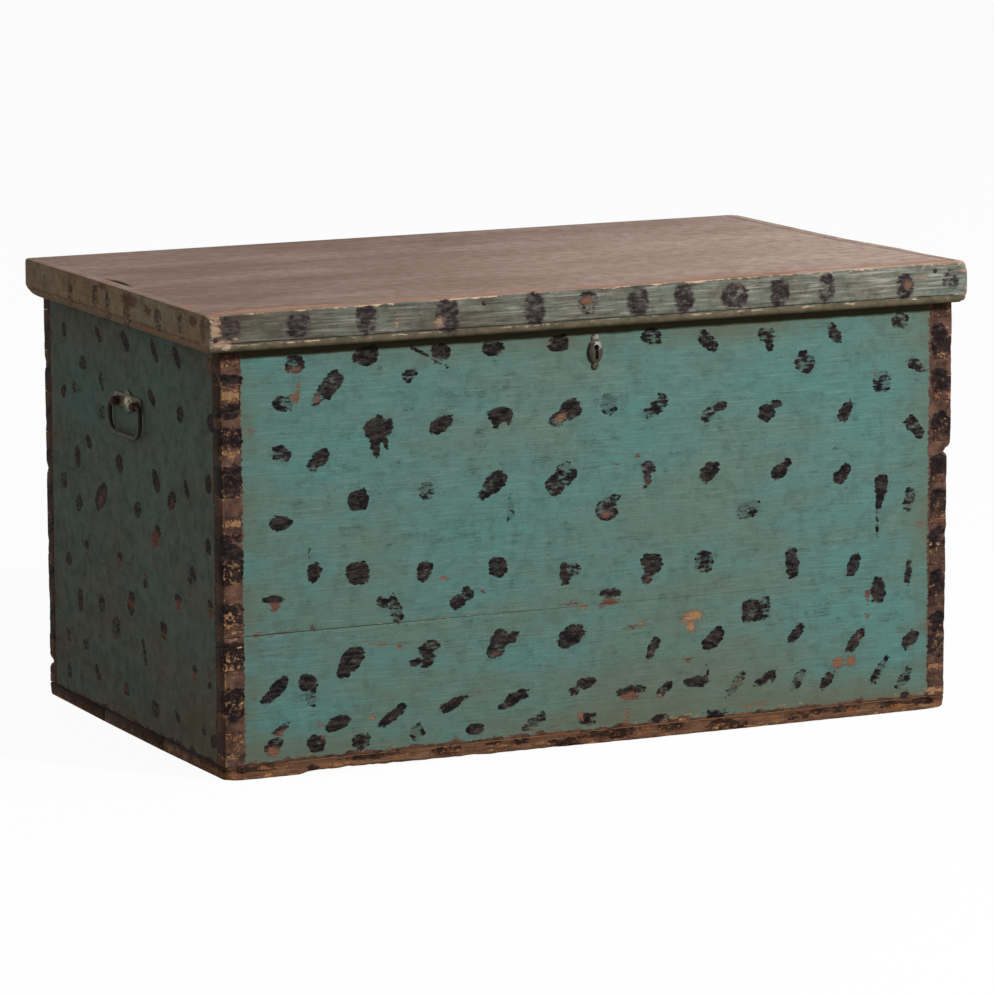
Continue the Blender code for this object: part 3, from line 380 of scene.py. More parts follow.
def worn_paint(name, stretch, tints, ridges=0.45, smudged=1.0, even=0.0):
    """Old matt paint on pine: cloudy, ridged and crazed with the grain and grimy, brown over the corners,
    dabbed with dark spots that have flaked, gone to primer and wood where it was knocked or rubbed, and
    darkened with painted shade and lit with painted highlights where these are marked."""
    material, tree = empty_material(name)
    tint = {key: linear(value) for key, value in tints.items()}
    mark_of = {key: node(tree, "Attribute", attribute_name=key)["Fac"]
               for key in ("dab", "flaked", "bare", "bare_kind", "rubbed_and_highlit", "grime_and_shade", "soot", "strip")}
    place = node(tree, "TexCoord")["Object"]
    along = node(tree, "Mapping", {"Vector": place, "Scale": stretch})["Vector"]
    partly = node(tree, "Mapping", {"Vector": place, "Scale": [part ** 0.35 for part in stretch]})["Vector"]
    fibre, rings, clouds, mottle, flakes, specks = [
        node(tree, "TexNoise", {"Vector": way, "Scale": 1000 / apart, "Detail": detail,
                                "Roughness": rough})["Fac"]
        for way, apart, detail, rough in (
            (along, GRAIN_LINES, 3, 0.6), (along, CRAZE, 3, 0.5), (partly, FADED_CLOUDS, 4, 0.6),
            (place, MOTTLING, 5, 0.65), (partly, FLAKES, 4, 0.65), (place, SPECKS, 2, 0.5))]

    # The coat: faded in clouds, shaded in patches, ridged with the grain, crazed, specked and grimy, and
    # darkened with painted shade where marked.
    colour = tint["coat"]
    for pattern, starts, full, most, onto in (
            (clouds, 0.38, 0.64, 1.0, "faded"), (mottle, 0.45, 0.72, 0.65, "shade"),
            (fibre, 0.53, 0.70, ridges, "pale"), (fibre, 0.45, 0.32, ridges, "shade")):
        part = node(tree, "MapRange", {"Value": pattern, "From Min": starts, "From Max": full,
                                       "To Max": most})["Result"]
        colour = node(tree, "Mix", {0: part, 6: colour, 7: tint[onto]}, data_type="RGBA")[2]
    near_ring = node(tree, "Math", {0: rings, 1: 0.5, 2: 0.005}, operation="COMPARE")["Value"]
    in_patch = node(tree, "MapRange", {"Value": mottle, "From Min": 0.48, "From Max": 0.64,
                                       "To Max": 0.6})["Result"]
    crack = node(tree, "Math", {0: near_ring, 1: in_patch}, operation="MULTIPLY")["Value"]
    colour = node(tree, "Mix", {0: crack, 6: colour, 7: tint["crack"]}, data_type="RGBA")[2]
    for starts, full, most, onto in ((0.325, 0.275, 0.75, "crack"), (0.70, 0.74, 0.8, "pale")):
        part = node(tree, "MapRange", {"Value": specks, "From Min": starts, "From Max": full,
                                       "To Max": most})["Result"]
        colour = node(tree, "Mix", {0: part, 6: colour, 7: tint[onto]}, data_type="RGBA")[2]
    # Grime, which on the lid and its rails also stands for painted shade.
    grime_and_shade_part = node(tree, "MapRange", {"Value": clouds, "From Min": 0.35, "From Max": 0.6,
                                    "To Min": even})["Result"]
    grime_and_shade_part = node(tree, "Math", {0: grime_and_shade_part, 1: mark_of["grime_and_shade"]}, operation="MULTIPLY")["Value"]
    colour = node(tree, "Mix", {0: grime_and_shade_part, 6: colour, 7: tint["grime_and_shade"]}, data_type="RGBA")[2]
    # Painted shadow under the lid's rail and painted shade in the lid's gaping joint: dark olive where
    # marked.
    shadow_part = node(tree, "Math", {0: flakes, 1: 0.5, 2: mark_of["soot"]}, operation="MULTIPLY_ADD")["Value"]
    shadow_part = node(tree, "MapRange", {"Value": shadow_part, "From Min": 0.5, "From Max": 1.0})["Result"]
    colour = node(tree, "Mix", {0: shadow_part, 6: colour, 7: tint["soot"]}, data_type="RGBA")[2]

    # The brown that was brushed over the corners and the beads, and has chipped. On the rails' beads it is
    # darker in part as painted shade, and its pale chips there are painted highlight as well.
    edge = node(tree, "Math", {0: flakes, 1: 15.0, 2: mark_of["strip"]}, operation="MULTIPLY_ADD")["Value"]
    stripped = node(tree, "MapRange", {"Value": edge, "From Min": 7.1, "From Max": 7.9, "To Min": 1.0,
                                       "To Max": 0.0})["Result"]
    worn = node(tree, "MapRange", {"Value": mottle, "From Min": 0.38, "From Max": 0.64})["Result"]
    strip = node(tree, "Mix", {0: worn, 6: tint["strip"], 7: tint["strip_worn"]}, data_type="RGBA")[2]
    gone = node(tree, "Math", {0: mottle, 1: 0.6, 2: flakes}, operation="MULTIPLY_ADD")["Value"]
    gone = node(tree, "Math", {0: mark_of["rubbed_and_highlit"], 1: 0.32, 2: gone}, operation="MULTIPLY_ADD")["Value"]
    gone = node(tree, "MapRange", {"Value": gone, "From Min": 1.02, "From Max": 1.11})["Result"]
    strip = node(tree, "Mix", {0: gone, 6: strip, 7: tint["strip_chip"]}, data_type="RGBA")[2]
    colour = node(tree, "Mix", {0: stripped, 6: colour, 7: strip}, data_type="RGBA")[2]

    # The dabs, ragged at the rim and flaked through.
    rim = mark_of["dab"]
    for pattern, ragged in ((mottle, 14.0), (flakes, 8.0), (specks, 2.5)):
        rim = node(tree, "Math", {0: pattern, 1: ragged, 2: rim}, operation="MULTIPLY_ADD")["Value"]
    dabbed = node(tree, "MapRange", {"Value": rim, "From Min": 12.6, "From Max": 12.6 + smudged,
                                     "To Min": 1.0, "To Max": 0.0})["Result"]
    loose = node(tree, "Math", {0: mark_of["flaked"], 1: 0.36, 2: mottle}, operation="MULTIPLY_ADD")["Value"]
    loose = node(tree, "Math", {0: loose, 1: flakes}, operation="ADD")["Value"]
    kept = node(tree, "MapRange", {"Value": loose, "From Min": 1.19, "From Max": 1.31, "To Min": 1.0,
                                   "To Max": 0.3})["Result"]
    scratch = node(tree, "Math", {0: flakes, 1: 0.55, 2: 0.012}, operation="COMPARE")["Value"]
    pinhole = node(tree, "MapRange", {"Value": specks, "From Min": 0.67, "From Max": 0.75,
                                      "To Max": 0.6})["Result"]
    kept = node(tree, "Math", {0: kept, 1: pinhole}, operation="SUBTRACT")["Value"]
    kept = node(tree, "Math", {0: scratch, 1: -0.3, 2: kept}, operation="MULTIPLY_ADD",
                use_clamp=True)["Value"]
    dabbed = node(tree, "Math", {0: dabbed, 1: kept}, operation="MULTIPLY")["Value"]
    thin = node(tree, "Math", {0: flakes, 1: mottle}, operation="ADD")["Value"]
    thin = node(tree, "MapRange", {"Value": thin, "From Min": 0.84, "From Max": 1.22})["Result"]
    dab = node(tree, "Mix", {0: thin, 6: tint["dab"], 7: tint["dab_worn"]}, data_type="RGBA")[2]
    colour = node(tree, "Mix", {0: dabbed, 6: colour, 7: dab}, data_type="RGBA")[2]

    # The bare places: wood in the middle with primer left round it, and chips along the rubbed edges, which
    # on the rails' upper edge also paint a cream highlight.
    grain = node(tree, "MapRange", {"Value": fibre, "From Min": 0.44, "From Max": 0.66,
                                    "To Max": 0.8})["Result"]
    wood = node(tree, "Mix", {0: grain, 6: tint["wood"], 7: tint["wood_dark"]}, data_type="RGBA")[2]
    knock = mark_of["bare"]
    for pattern, ragged in ((mottle, 14.0), (flakes, 16.0), (specks, 10.0)):
        knock = node(tree, "Math", {0: pattern, 1: ragged, 2: knock}, operation="MULTIPLY_ADD")["Value"]
    torn = node(tree, "MapRange", {"Value": knock, "From Min": 18.0, "From Max": 19.6, "To Min": 1.0,
                                   "To Max": 0.0})["Result"]
    core = node(tree, "MapRange", {"Value": knock, "From Min": 16.4, "From Max": 18.8, "To Min": 1.0,
                                   "To Max": 0.2})["Result"]
    core = node(tree, "Math", {0: core, 1: mark_of["bare_kind"]}, operation="MULTIPLY")["Value"]
    under = node(tree, "Mix", {0: core, 6: tint["primer"], 7: wood}, data_type="RGBA")[2]
    dirty = node(tree, "MapRange", {"Value": fibre, "From Min": 0.50, "From Max": 0.42,
                                    "To Max": 0.6})["Result"]
    under = node(tree, "Mix", {0: dirty, 6: under, 7: tint["dab_worn"]}, data_type="RGBA")[2]
    colour = node(tree, "Mix", {0: torn, 6: colour, 7: under}, data_type="RGBA")[2]
    lifted = node(tree, "Math", {0: mark_of["rubbed_and_highlit"], 1: 0.30, 2: flakes}, operation="MULTIPLY_ADD")["Value"]
    chip = node(tree, "MapRange", {"Value": lifted, "From Min": 0.74, "From Max": 0.80})["Result"]
    colour = node(tree, "Mix", {0: chip, 6: colour, 7: wood}, data_type="RGBA")[2]

    shine = node(tree, "MapRange", {"Value": mottle, "From Min": 0.3, "From Max": 0.7, "To Min": 0.46,
                                    "To Max": 0.76})["Result"]
    # Rings and dabs stand up a little; cracks, chips and torn places lie lower.
    height = fibre
    for pattern, raised in ((rings, 0.6), (crack, -0.6), (chip, -0.5), (torn, -0.5), (dabbed, 0.4)):
        height = node(tree, "Math", {0: pattern, 1: raised, 2: height}, operation="MULTIPLY_ADD")["Value"]
    relief = node(tree, "Bump", {"Height": height, "Strength": 0.6, "Distance": 0.0008})["Normal"]
    surface = node(tree, "BsdfPrincipled", {"Base Color": colour, "Roughness": shine, "Normal": relief,
                                            "Specular IOR Level": 0.022})["BSDF"]
    node(tree, "OutputMaterial", {"Surface": surface})
    return material


# How far apart bare pine's fibres, rings, stains and knots lie, in mm.
PINE_FIBRES, PINE_RINGS, PINE_STAINS, PINE_KNOTS = 2.0, 17.0, 60.0, 180.0


def bare_wood(name, stretch, dark, mid, light):
    """Bare old pine: warm bands with the grain, a few knots, dark with handling and dust in the fibres."""
    material, tree = empty_material(name)
    place = node(tree, "TexCoord")["Object"]
    along, partly, oval = [
        node(tree, "Mapping", {"Vector": place, "Scale": [part ** drawn for part in stretch]})["Vector"]
        for drawn in (1, 0.5, 0.2)]
    fibre, bands, stains = [
        node(tree, "TexNoise", {"Vector": way, "Scale": 1000 / apart, "Detail": detail, "Roughness": 0.6,
                                "Distortion": bent})["Fac"]
        for way, apart, detail, bent in ((along, PINE_FIBRES, 4, 0.0), (along, PINE_RINGS, 6, 0.6),
                                         (partly, PINE_STAINS, 5, 0.0))]
    knots = node(tree, "TexVoronoi", {"Vector": oval, "Scale": 1000 / PINE_KNOTS})["Distance"]
    knotty = node(tree, "Math", {0: bands, 1: 0.06, 2: knots}, operation="MULTIPLY_ADD")["Value"]
    colour = linear(light)
    for pattern, starts, full, most, onto in ((bands, 0.36, 0.62, 1.0, mid), (fibre, 0.5, 0.72, 0.7, dark),
                                              (stains, 0.45, 0.75, 0.6, dark),
                                              (knotty, 0.13, 0.09, 0.85, dark)):
        part = node(tree, "MapRange", {"Value": pattern, "From Min": starts, "From Max": full,
                                       "To Max": most})["Result"]
        colour = node(tree, "Mix", {0: part, 6: colour, 7: linear(onto)}, data_type="RGBA")[2]
    height = node(tree, "Math", {0: bands, 1: 0.6, 2: fibre}, operation="MULTIPLY_ADD")["Value"]
    relief = node(tree, "Bump", {"Height": height, "Strength": 0.7, "Distance": 0.0009})["Normal"]
    shine = node(tree, "MapRange", {"Value": stains, "To Min": 0.6, "To Max": 0.9})["Result"]
    surface = node(tree, "BsdfPrincipled", {"Base Color": colour, "Roughness": shine, "Normal": relief,
                                            "Specular IOR Level": 0.05})["BSDF"]
    node(tree, "OutputMaterial", {"Surface": surface})
    return material


def finish_piece(piece, cad_node, body):
    """Shades the piece, and puts it in its CAD node's place on the body that carries it."""
    bpy.ops.object.shade_smooth_by_angle(angle=FLAT_SHADING)
    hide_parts(cad_node)
    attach(piece, body)


def cut_wall(cad_node, across, step):
    """A wall's board with eased edges, its outer faces cut up for the wear to move."""
    plank = board_from(cad_node, "painted_" + cad_node)
    ease_edges(plank, EASED_EDGE)
    set_inside_apart(plank, across)
    score(plank, ALONG_X + ALONG_Y - across, step)
    score(plank, UPRIGHT, step)
    show_all(plank)
    return plank


def rubbed_blocks(plank, places, from_strip, seed):
    """How far the rims of the corner blocks are rubbed to tan."""
    uneven = np.clip(0.7 + 0.7 * ripple(places, 0.02, seed), 0, 1.2)
    return on_edges(plank) * (from_strip < 0) * uneven


def paint_wall(plank, cad_node, across, paint, pine):
    """Paints a wall's board, but for its inner face and its top, and puts it in its place."""
    plank.data.materials.append(paint)
    plank.data.materials.append(pine)
    inside = CARCASS_HALF[across] - WALL_THICK + 0.002
    for face in plank.data.polygons:
        within = abs(face.center[across]) < inside and abs(face.normal[across]) > 0.7
        if within or face.center.z > WALL_TOP - 0.0008:
            face.material_index = 1
    finish_piece(plank, cad_node, "carcass")


# The dark olive #45412e is painted shadow, for the wall under the lid's rail and the lid's gaping joint.
TEAL = {"coat": "#567e78", "faded": "#61776d", "shade": "#4d625a", "pale": "#80968c", "crack": "#33403b",
        "grime_and_shade": "#60614f", "soot": "#45412e", "primer": "#66423a", "wood": "#b08862", "wood_dark": "#5f4231",
        "dab": "#181516", "dab_worn": "#3f3332", "strip": "#412f2a", "strip_worn": "#6d5144",
        "strip_chip": "#a87f5c"}
# The front: grey-green teal, dark dabs, red and orange where it flaked, brown corners over the pins.
front_paint = worn_paint("worn_teal_paint_on_front", STRETCH_X, TEAL, ridges=0.34)
# The inside of the walls: pine never painted, browned by age.
inner_pine = bare_wood("aged_pine_inside", STRETCH_X, "#6d4c31", "#a5794d", "#bd9263")

# Where the blocks' dark paint and chips lie along the front, and how wide they are, in mm.
LEFT_DAB_AT, RIGHT_DAB_AT = (-537, 31), (538, 27)
LEFT_CHIP_AT, RIGHT_CHIP_AT = (-535, 17), (536, 14)
front_dabs = (FRONT_DABS + on_block(*LEFT_DAB_AT, LEFT_BLOCK_DABS)
              + on_block(*RIGHT_DAB_AT, RIGHT_BLOCK_DABS))
front_bare = (FRONT_BARE + on_block(*LEFT_CHIP_AT, LEFT_BLOCK_CHIPS)
              + on_block(*RIGHT_CHIP_AT, RIGHT_BLOCK_CHIPS))
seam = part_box("front_upper_plank")[0].z
SEAM_OPENED = 0.0008

for cad_node, step, seed in (("front_upper_plank", FRONT_STEP, 1), ("front_lower_plank", FRONT_STEP, 2),
                             ("back_upper_plank", BACK_STEP, 3), ("back_lower_plank", BACK_STEP, 4)):
    turned = 1 if "front" in cad_node else -1
    plank = cut_wall(cad_node, ALONG_Y, step)
    places = points_of(plank)
    places = fill_seam(places, ALONG_X, seam, np.clip((places[:, 0] * turned + 0.35) / 0.3, 0, 0.95))
    places = wear_corners(places)
    # The joint of the two boards has opened a little towards the left.
    if "upper" in cad_node:
        opened = SEAM_OPENED * np.clip((0.1 - places[:, 0] * turned) / 0.5, 0, 1)
        places[:, 2] += np.where(places[:, 2] < seam + 0.002, opened, 0)
    put_points(plank, places)
    mark_spots(plank, turned_round(front_dabs, turned), ALONG_X, "dab", "flaked")
    mark_spots(plank, turned_round(front_bare, turned), ALONG_X, "bare", "bare_kind")
    over, up = places[:, 0], places[:, 2]
    from_strip = CARCASS_HALF[0] - STRIP_WIDTH - abs(over)
    by_seam = 0.55 * np.exp(-abs(up - seam) / 0.004) * np.clip((0.3 - over * turned) / 0.5, 0.3, 1)
    by_foot = (0.4 + 0.7 * ripple(places, 0.08, seed + 20)) * np.exp(-((up - WALL_FOOT - 0.007) / 0.006) ** 2)
    by_upright = 0.3 * np.exp(-abs(CARCASS_HALF[0] - abs(over)) / 0.004)
    by_block = rubbed_blocks(plank, places, from_strip, seed + 70) * np.where(over * turned > 0, 0.6, 1)
    mark(plank, "rubbed_and_highlit", np.max([by_seam, by_foot, by_upright, by_block], axis=0))
    # Grime lies along the strips, the foot, the lower part and under the rail's middle.
    under_rail = 1.2 * np.exp(-((over * turned - 0.06) / 0.33) ** 2) * np.clip((up - 0.535) / 0.03, 0, 1)
    mark(plank, "grime_and_shade", np.clip(0.7 * np.exp(-from_strip / 0.03) + 0.6 * np.exp(-(up - WALL_FOOT) / 0.03)
                                 + 0.4 * np.clip((0.38 - up) / 0.3, 0, 1) + under_rail, 0, 1))
    from_foot = up - WALL_FOOT - 0.004 - 0.004 * ripple(places, 0.025, seed + 40)
    mark(plank, "strip", np.minimum(from_strip, from_foot) * 1000)
    # Painted shadow: the top of the wall under the lid's rail is darkened as if in its shadow.
    shadow_part = (up - RAIL_SHADE) / 0.004 + 0.5 + 0.4 * ripple(places, 0.04, seed + 60)
    mark(plank, "soot", np.clip(shadow_part, 0, 1))
    paint_wall(plank, cad_node, ALONG_Y, front_paint, inner_pine)


# Side planks
# The boards of the two ends, with the tails of the dovetails on both their ends. Painted like the front, but
# these tails kept more of the brown, so their ends show as dark squares down the front's corners.

# The dabs and bare places of the left end, as on the front but measured from the middle towards the back.
SIDE_DABS = [
    (247, 539, 20, 20, 0, 0.3), (115, 548, 33, 12, 40, 0.2), (13, 551, 44, 17, 38, 0.1),
    (-94, 552, 42, 13, 48, 0.2), (-176, 553, 44, 16, 47, 0.05), (175, 501, 34, 17, 0, 0.5),
    (105, 485, 32, 13, 60, 0.5), (253, 451, 28, 14, -50, 0.2), (210, 463, 20, 16, 0, 0.6),
    (-84, 485, 38, 14, 40, 0.1), (108, 439, 36, 22, 0, 0.8), (-186, 477, 26, 22, 60, 0.2),
    (-294, 480, 30, 24, 60, 0.3), (159, 392, 30, 16, 30, 0.1), (203, 364, 28, 28, 0, 0.3),
    (41, 377, 34, 24, 20, 0.1), (258, 323, 28, 22, 0, 0.5), (-95, 373, 42, 22, 45, 0.05),
    (-205, 378, 38, 14, 55, 0.1), (-284, 396, 30, 22, 60, 0.2), (113, 320, 64, 26, -38, 0.3),
    (200, 299, 34, 20, -40, 0.5), (-152, 355, 42, 22, -40, 0.2), (-26, 324, 36, 18, -35, 0.5),
    (-99, 305, 26, 16, 0, 0.1), (-279, 311, 24, 18, 0, 0.1), (172, 243, 21, 13, 0, 0.1),
    (244, 212, 28, 16, 0, 0.4), (46, 247, 22, 12, 0, 0.2), (-221, 262, 30, 30, 50, 0.5),
    (-49, 224, 18, 12, 0, 0.1), (201, 158, 26, 30, 0, 0.3), (117, 168, 30, 24, 0, 0.4),
    (2, 196, 30, 16, 0, 0.2), (6, 180, 30, 16, 30, 0.3), (-170, 223, 24, 10, 0, 0.3),
    (-286, 233, 22, 10, 0, 0.1), (63, 143, 36, 30, 40, 0.6), (-115, 173, 32, 16, 0, 0.1),
    (251, 102, 20, 16, 0, 0.7), (181, 98, 26, 14, 0, 0.5), (-38, 140, 14, 8, 0, 0.4),
    (-43, 127, 14, 9, 0, 0.2), (-46, 114, 14, 8, 0, 0.2), (-225, 135, 18, 9, 0, 0.1),
    (-279, 122, 18, 8, 0, 0.1), (249, 48, 20, 20, 0, 0.5), (137, 66, 30, 12, 45, 0.4),
    (27, 63, 22, 16, 0, 0.5), (-80, 54, 34, 22, 0, 0.6), (-162, 57, 26, 10, 45, 0.2),
    (-257, 57, 20, 12, 0, 0.3), (-290, 48, 28, 18, 0, 0.3),
]
SIDE_BARE = [
    (-89, 292, 42, 22, -20, 0.1), (172, 232, 16, 10, 0, 0.2), (47, 234, 20, 16, 0, 0.1),
    (-50, 236, 16, 14, 0, 0.1), (201, 154, 28, 6, 0, 0.2), (117, 166, 28, 8, 0, 0.2),
    (4, 188, 34, 14, 0, 0.05), (-170, 214, 22, 16, 0, 0.1), (-284, 222, 22, 14, 0, 0.1),
    (62, 130, 30, 7, 0, 0.5), (-115, 160, 30, 12, 0, 0.05), (-224, 124, 18, 18, 0, 0.1),
    (-279, 134, 18, 12, 0, 0.05), (27, 63, 18, 10, 0, 0.1), (113, 318, 40, 10, -38, 0.0),
    (-152, 350, 28, 10, -40, 0.0), (253, 449, 16, 7, -50, 0.0), (-290, 556, 14, 30, 0, 0.3),
    (88, 153, 24, 5, 10, 0.1), (10, 128, 40, 5, 10, 0.2), (-60, 150, 60, 4, 8, 0.1),
]
DAB_SHORTER = 0.75  # the photo shows this end at a slant, and the lengths above are read too long
SIDE_STEP, RIGHT_STEP = 0.005, 0.008
# How far from the middle the front's and back's corner blocks lie, and how wide their paint and chips are,
# in mm.
END_BLOCK, END_DAB_WIDE, END_CHIP_WIDE = 332, 38, 12

END_TEAL = dict(TEAL, coat="#647971", faded="#6e7366", shade="#565f56", pale="#768078", grime_and_shade="#685a47",
                primer="#7d4a38", dab="#1f191a", dab_worn="#42332f", strip="#392b25", strip_worn="#5a4339",
                strip_chip="#8f6c4c")
# The ends: the same paint, browner with grime, and the dark tails.
side_paint = worn_paint("worn_teal_paint_on_ends", STRETCH_Y, END_TEAL, ridges=0.2, even=0.5)
# The inside of the ends: the same bare pine, its grain running from front to back.
inner_end_pine = bare_wood("aged_pine_inside_ends", STRETCH_Y, "#6d4c31", "#a5794d", "#bd9263")

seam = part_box("left_upper_plank")[0].z
for cad_node, step, seed in (("left_upper_plank", SIDE_STEP, 1), ("left_lower_plank", SIDE_STEP, 2),
                             ("right_upper_plank", RIGHT_STEP, 3), ("right_lower_plank", RIGHT_STEP, 4)):
    turned = 1 if "left" in cad_node else -1
    plank = cut_wall(cad_node, ALONG_X, step)
    places = wear_corners(fill_seam(points_of(plank), ALONG_Y, seam, 0.9))
    put_points(plank, places)
    for spots, blocks, wide, name, kind in (
            (SIDE_DABS, (LEFT_BLOCK_DABS, RIGHT_BLOCK_DABS), END_DAB_WIDE, "dab", "flaked"),
            (SIDE_BARE, (LEFT_BLOCK_CHIPS, RIGHT_BLOCK_CHIPS), END_CHIP_WIDE, "bare", "bare_kind")):
        ahead, behind = blocks[::turned]
        mark_spots(plank, turned_round(spots, turned, DAB_SHORTER) + on_block(-END_BLOCK, wide, ahead)
                   + on_block(END_BLOCK, wide, behind), ALONG_Y, name, kind)
    over, up = places[:, 1], places[:, 2]
    from_strip = CARCASS_HALF[1] - STRIP_WIDTH - abs(over)
    by_seam = 0.3 * np.exp(-abs(up - seam) / 0.004)
    by_foot = 0.6 * np.exp(-((up - WALL_FOOT - 0.006) / 0.006) ** 2)
    by_upright = 0.4 * np.exp(-abs(CARCASS_HALF[1] - abs(over)) / 0.004)
    by_block = rubbed_blocks(plank, places, from_strip, seed + 80) * (0.6 if turned < 0 else 1)
    mark(plank, "rubbed_and_highlit", np.max([by_seam, by_foot, by_upright, by_block], axis=0))
    mark(plank, "grime_and_shade", np.clip(0.3 * np.exp(-from_strip / 0.05) + 0.71 * np.exp(-(up - WALL_FOOT) / 0.15)
                                 + 0.38 * np.clip((up - 0.52) / 0.03, 0, 1), 0, 0.6))
    from_foot = up - WALL_FOOT - 0.003 - 0.008 * ripple(places, 0.025, seed + 50)
    mark(plank, "strip", np.minimum(from_strip, from_foot) * 1000)
    paint_wall(plank, cad_node, ALONG_X, side_paint, inner_end_pine)


# Bottom boards
# Three pine boards nailed up under the walls, their edges in view all round. Once painted brown, they stand
# on the floor and have rotted away along the lower edge of the front.

BOTTOM_STEP, BOTTOM_FRONT_STEP = 0.006, 0.004
BOTTOM_EASED = 0.0025
# How far the front edge has rotted at least and at most beyond that, from where, and how uneven its face is.
ROTTED_LEAST, ROTTED_MORE, ROT_STARTS, FACE_UNEVEN = 0.0005, 0.0040, -0.440, 0.0012
DRAGGED_UP, DRAGGED_IN = 0.004, 0.003  # how far the boards' corners are worn off
FRONT_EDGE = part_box("bottom_front_plank")[0].y
# Places where the brown has gone from the front edge, as for the walls.
BOTTOM_BARE = [
    (-545, 8, 24, 12, 0, 0.8), (-470, 14, 60, 5, 0, 0.6), (-380, 9, 50, 6, 0, 0.9), (-300, 12, 40, 7, 0, 0.6),
    (-215, 10, 36, 6, 0, 0.7), (-139, 11, 26, 10, 0, 1.0), (-85, 11, 14, 8, 0, 0.9), (-10, 8, 40, 6, 0, 0.6),
    (90, 12, 50, 5, 0, 0.5), (190, 8, 34, 7, 0, 0.7), (290, 12, 60, 5, 0, 0.4), (397, 9, 14, 12, 0, 0.3),
    (480, 10, 40, 6, 0, 0.6), (540, 7, 20, 8, 0, 0.7),
]
# Where the dark paint is still on it, as for the walls.
BOTTOM_DABS = [
    (-510, 15, 70, 6, 0, 0.3), (-424, 8, 14, 10, 0, 0.1), (-330, 16, 60, 6, 0, 0.5),
    (-226, 12, 34, 10, 0, 0.4), (-130, 15, 50, 6, 0, 0.6), (-46, 7, 40, 10, 0, 0.3), (20, 13, 80, 11, 0, 0.3),
    (118, 14, 44, 9, 0, 0.4), (200, 9, 52, 13, 0, 0.3), (310, 11, 36, 9, 0, 0.4), (370, 14, 56, 9, 0, 0.3),
    (487, 13, 76, 8, 0, 0.4),
]

BOTTOM_BROWN = dict(TEAL, coat="#694a38", faded="#7a5743", shade="#3f2d23", pale="#8d6c50", crack="#20160f",
                    grime_and_shade="#4a3529", primer="#7b4e33", wood="#b58354", wood_dark="#62412b", dab="#221713",
                    dab_worn="#40302a", strip="#31231c", strip_worn="#493529", strip_chip="#6b4d38")
# The front and end edges: dark brown, ragged, orange where the wood has broken away.
bottom_edge_paint = worn_paint("rotted_brown_bottom_edges", STRETCH_X, BOTTOM_BROWN, ridges=0.8)
# The underside: grey-brown wood that never was painted.
bottom_wood = bare_wood("weathered_pine_of_bottom", STRETCH_X, "#2c1d16", "#5f4431", "#8d6748")

for cad_node, seed in (("bottom_front_plank", 11), ("bottom_middle_plank", 12), ("bottom_back_plank", 13)):
    plank = board_from(cad_node, "nailed_" + cad_node)
    ease_edges(plank, BOTTOM_EASED)
    score(plank, ALONG_X, BOTTOM_STEP)
    if cad_node == "bottom_front_plank":
        score(plank, UPRIGHT, BOTTOM_FRONT_STEP)
    places = points_of(plank)
    over, up = places[:, 0], places[:, 2]
    by_front = np.exp(-((places[:, 1] - FRONT_EDGE) / 0.010) ** 2) if cad_node == "bottom_front_plank" else 0
    low = np.clip((0.015 - up) / 0.012, 0, 1)
    more = np.clip((0.05 - over) / 0.475, 0, 1)
    rotted = np.clip((over - ROT_STARTS) / 0.014, 0, 1) * (ROTTED_LEAST + ROTTED_MORE * more)
    places[:, 2] += by_front * low * rotted * (1 + 0.6 * ripple(places, 0.025, seed))
    places[:, 1] += by_front * FACE_UNEVEN * ripple(places, 0.015, seed + 5)
    # Paint fills the joint with the wall above but at the left.
    in_joint = (abs(up - WALL_FOOT) < 0.003) & (places[:, 1] < FRONT_EDGE + 0.003)
    places[:, 1] += in_joint * np.clip((over + 0.47) / 0.06, 0, 1) * (FRONT_EDGE + PAINT_UNDER - places[:, 1])
    # The corners of the boards are rounded off where they were dragged.
    for side in (-1, 1):
        from_corner = np.hypot(over * side - cad_high.x + 0.018, abs(places[:, 1]) + FRONT_EDGE)
        knocked = np.exp(-from_corner / 0.010) * low
        places[:, 2] += DRAGGED_UP * knocked
        places[:, 0] -= side * DRAGGED_IN * knocked
    put_points(plank, places)
    mark_spots(plank, BOTTOM_DABS, ALONG_X, "dab", "flaked")
    mark_spots(plank, BOTTOM_BARE, ALONG_X, "bare", "bare_kind")
    mark(plank, "rubbed_and_highlit", 0.85 * np.exp(-places[:, 2] / 0.005) + 0.2)
    mark(plank, "grime_and_shade", np.clip((places[:, 2] - 0.012) / 0.006, 0, 1))
    mark(plank, "strip", (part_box(cad_node)[1].x - 0.004 - abs(over)) * 1000)
    plank.data.materials.append(bottom_edge_paint)
    plank.data.materials.append(bottom_wood)
    plank.data.materials.append(inner_pine)
    for face in plank.data.polygons:
        within = (abs(face.center.x) < CARCASS_HALF[0] - WALL_THICK
                  and abs(face.center.y) < CARCASS_HALF[1] - WALL_THICK)
        if face.normal.z < -0.8:
            face.material_index = 1
        elif face.normal.z > 0.8 and within:
            face.material_index = 2
    finish_piece(plank, cad_node, "carcass")


# Lid planks
# The two boards of the lid, butted along a joint that has opened at the left end. Painted a brown that has
# faded to mauve and been rubbed along the grain. The lid has warped: its front right corner stands high.

LID_STEP = 0.010
LID_EASED = 0.0012
# Where the joint with the left rail gapes: its place from the middle and half its length. Then how wide it is
# there, and how deep the gaps beside both end rails go.
LID_GAP, GAP_WIDE, GAP_DEEP = (0.03, 0.034), 0.006, 0.012
# How far the boards have shrunk from the right rail, how unevenly, and how far their joint gapes at the left.
SHRUNK, SHRUNK_UNEVEN, JOINT_GAPE = 0.0010, 0.0004, 0.0022
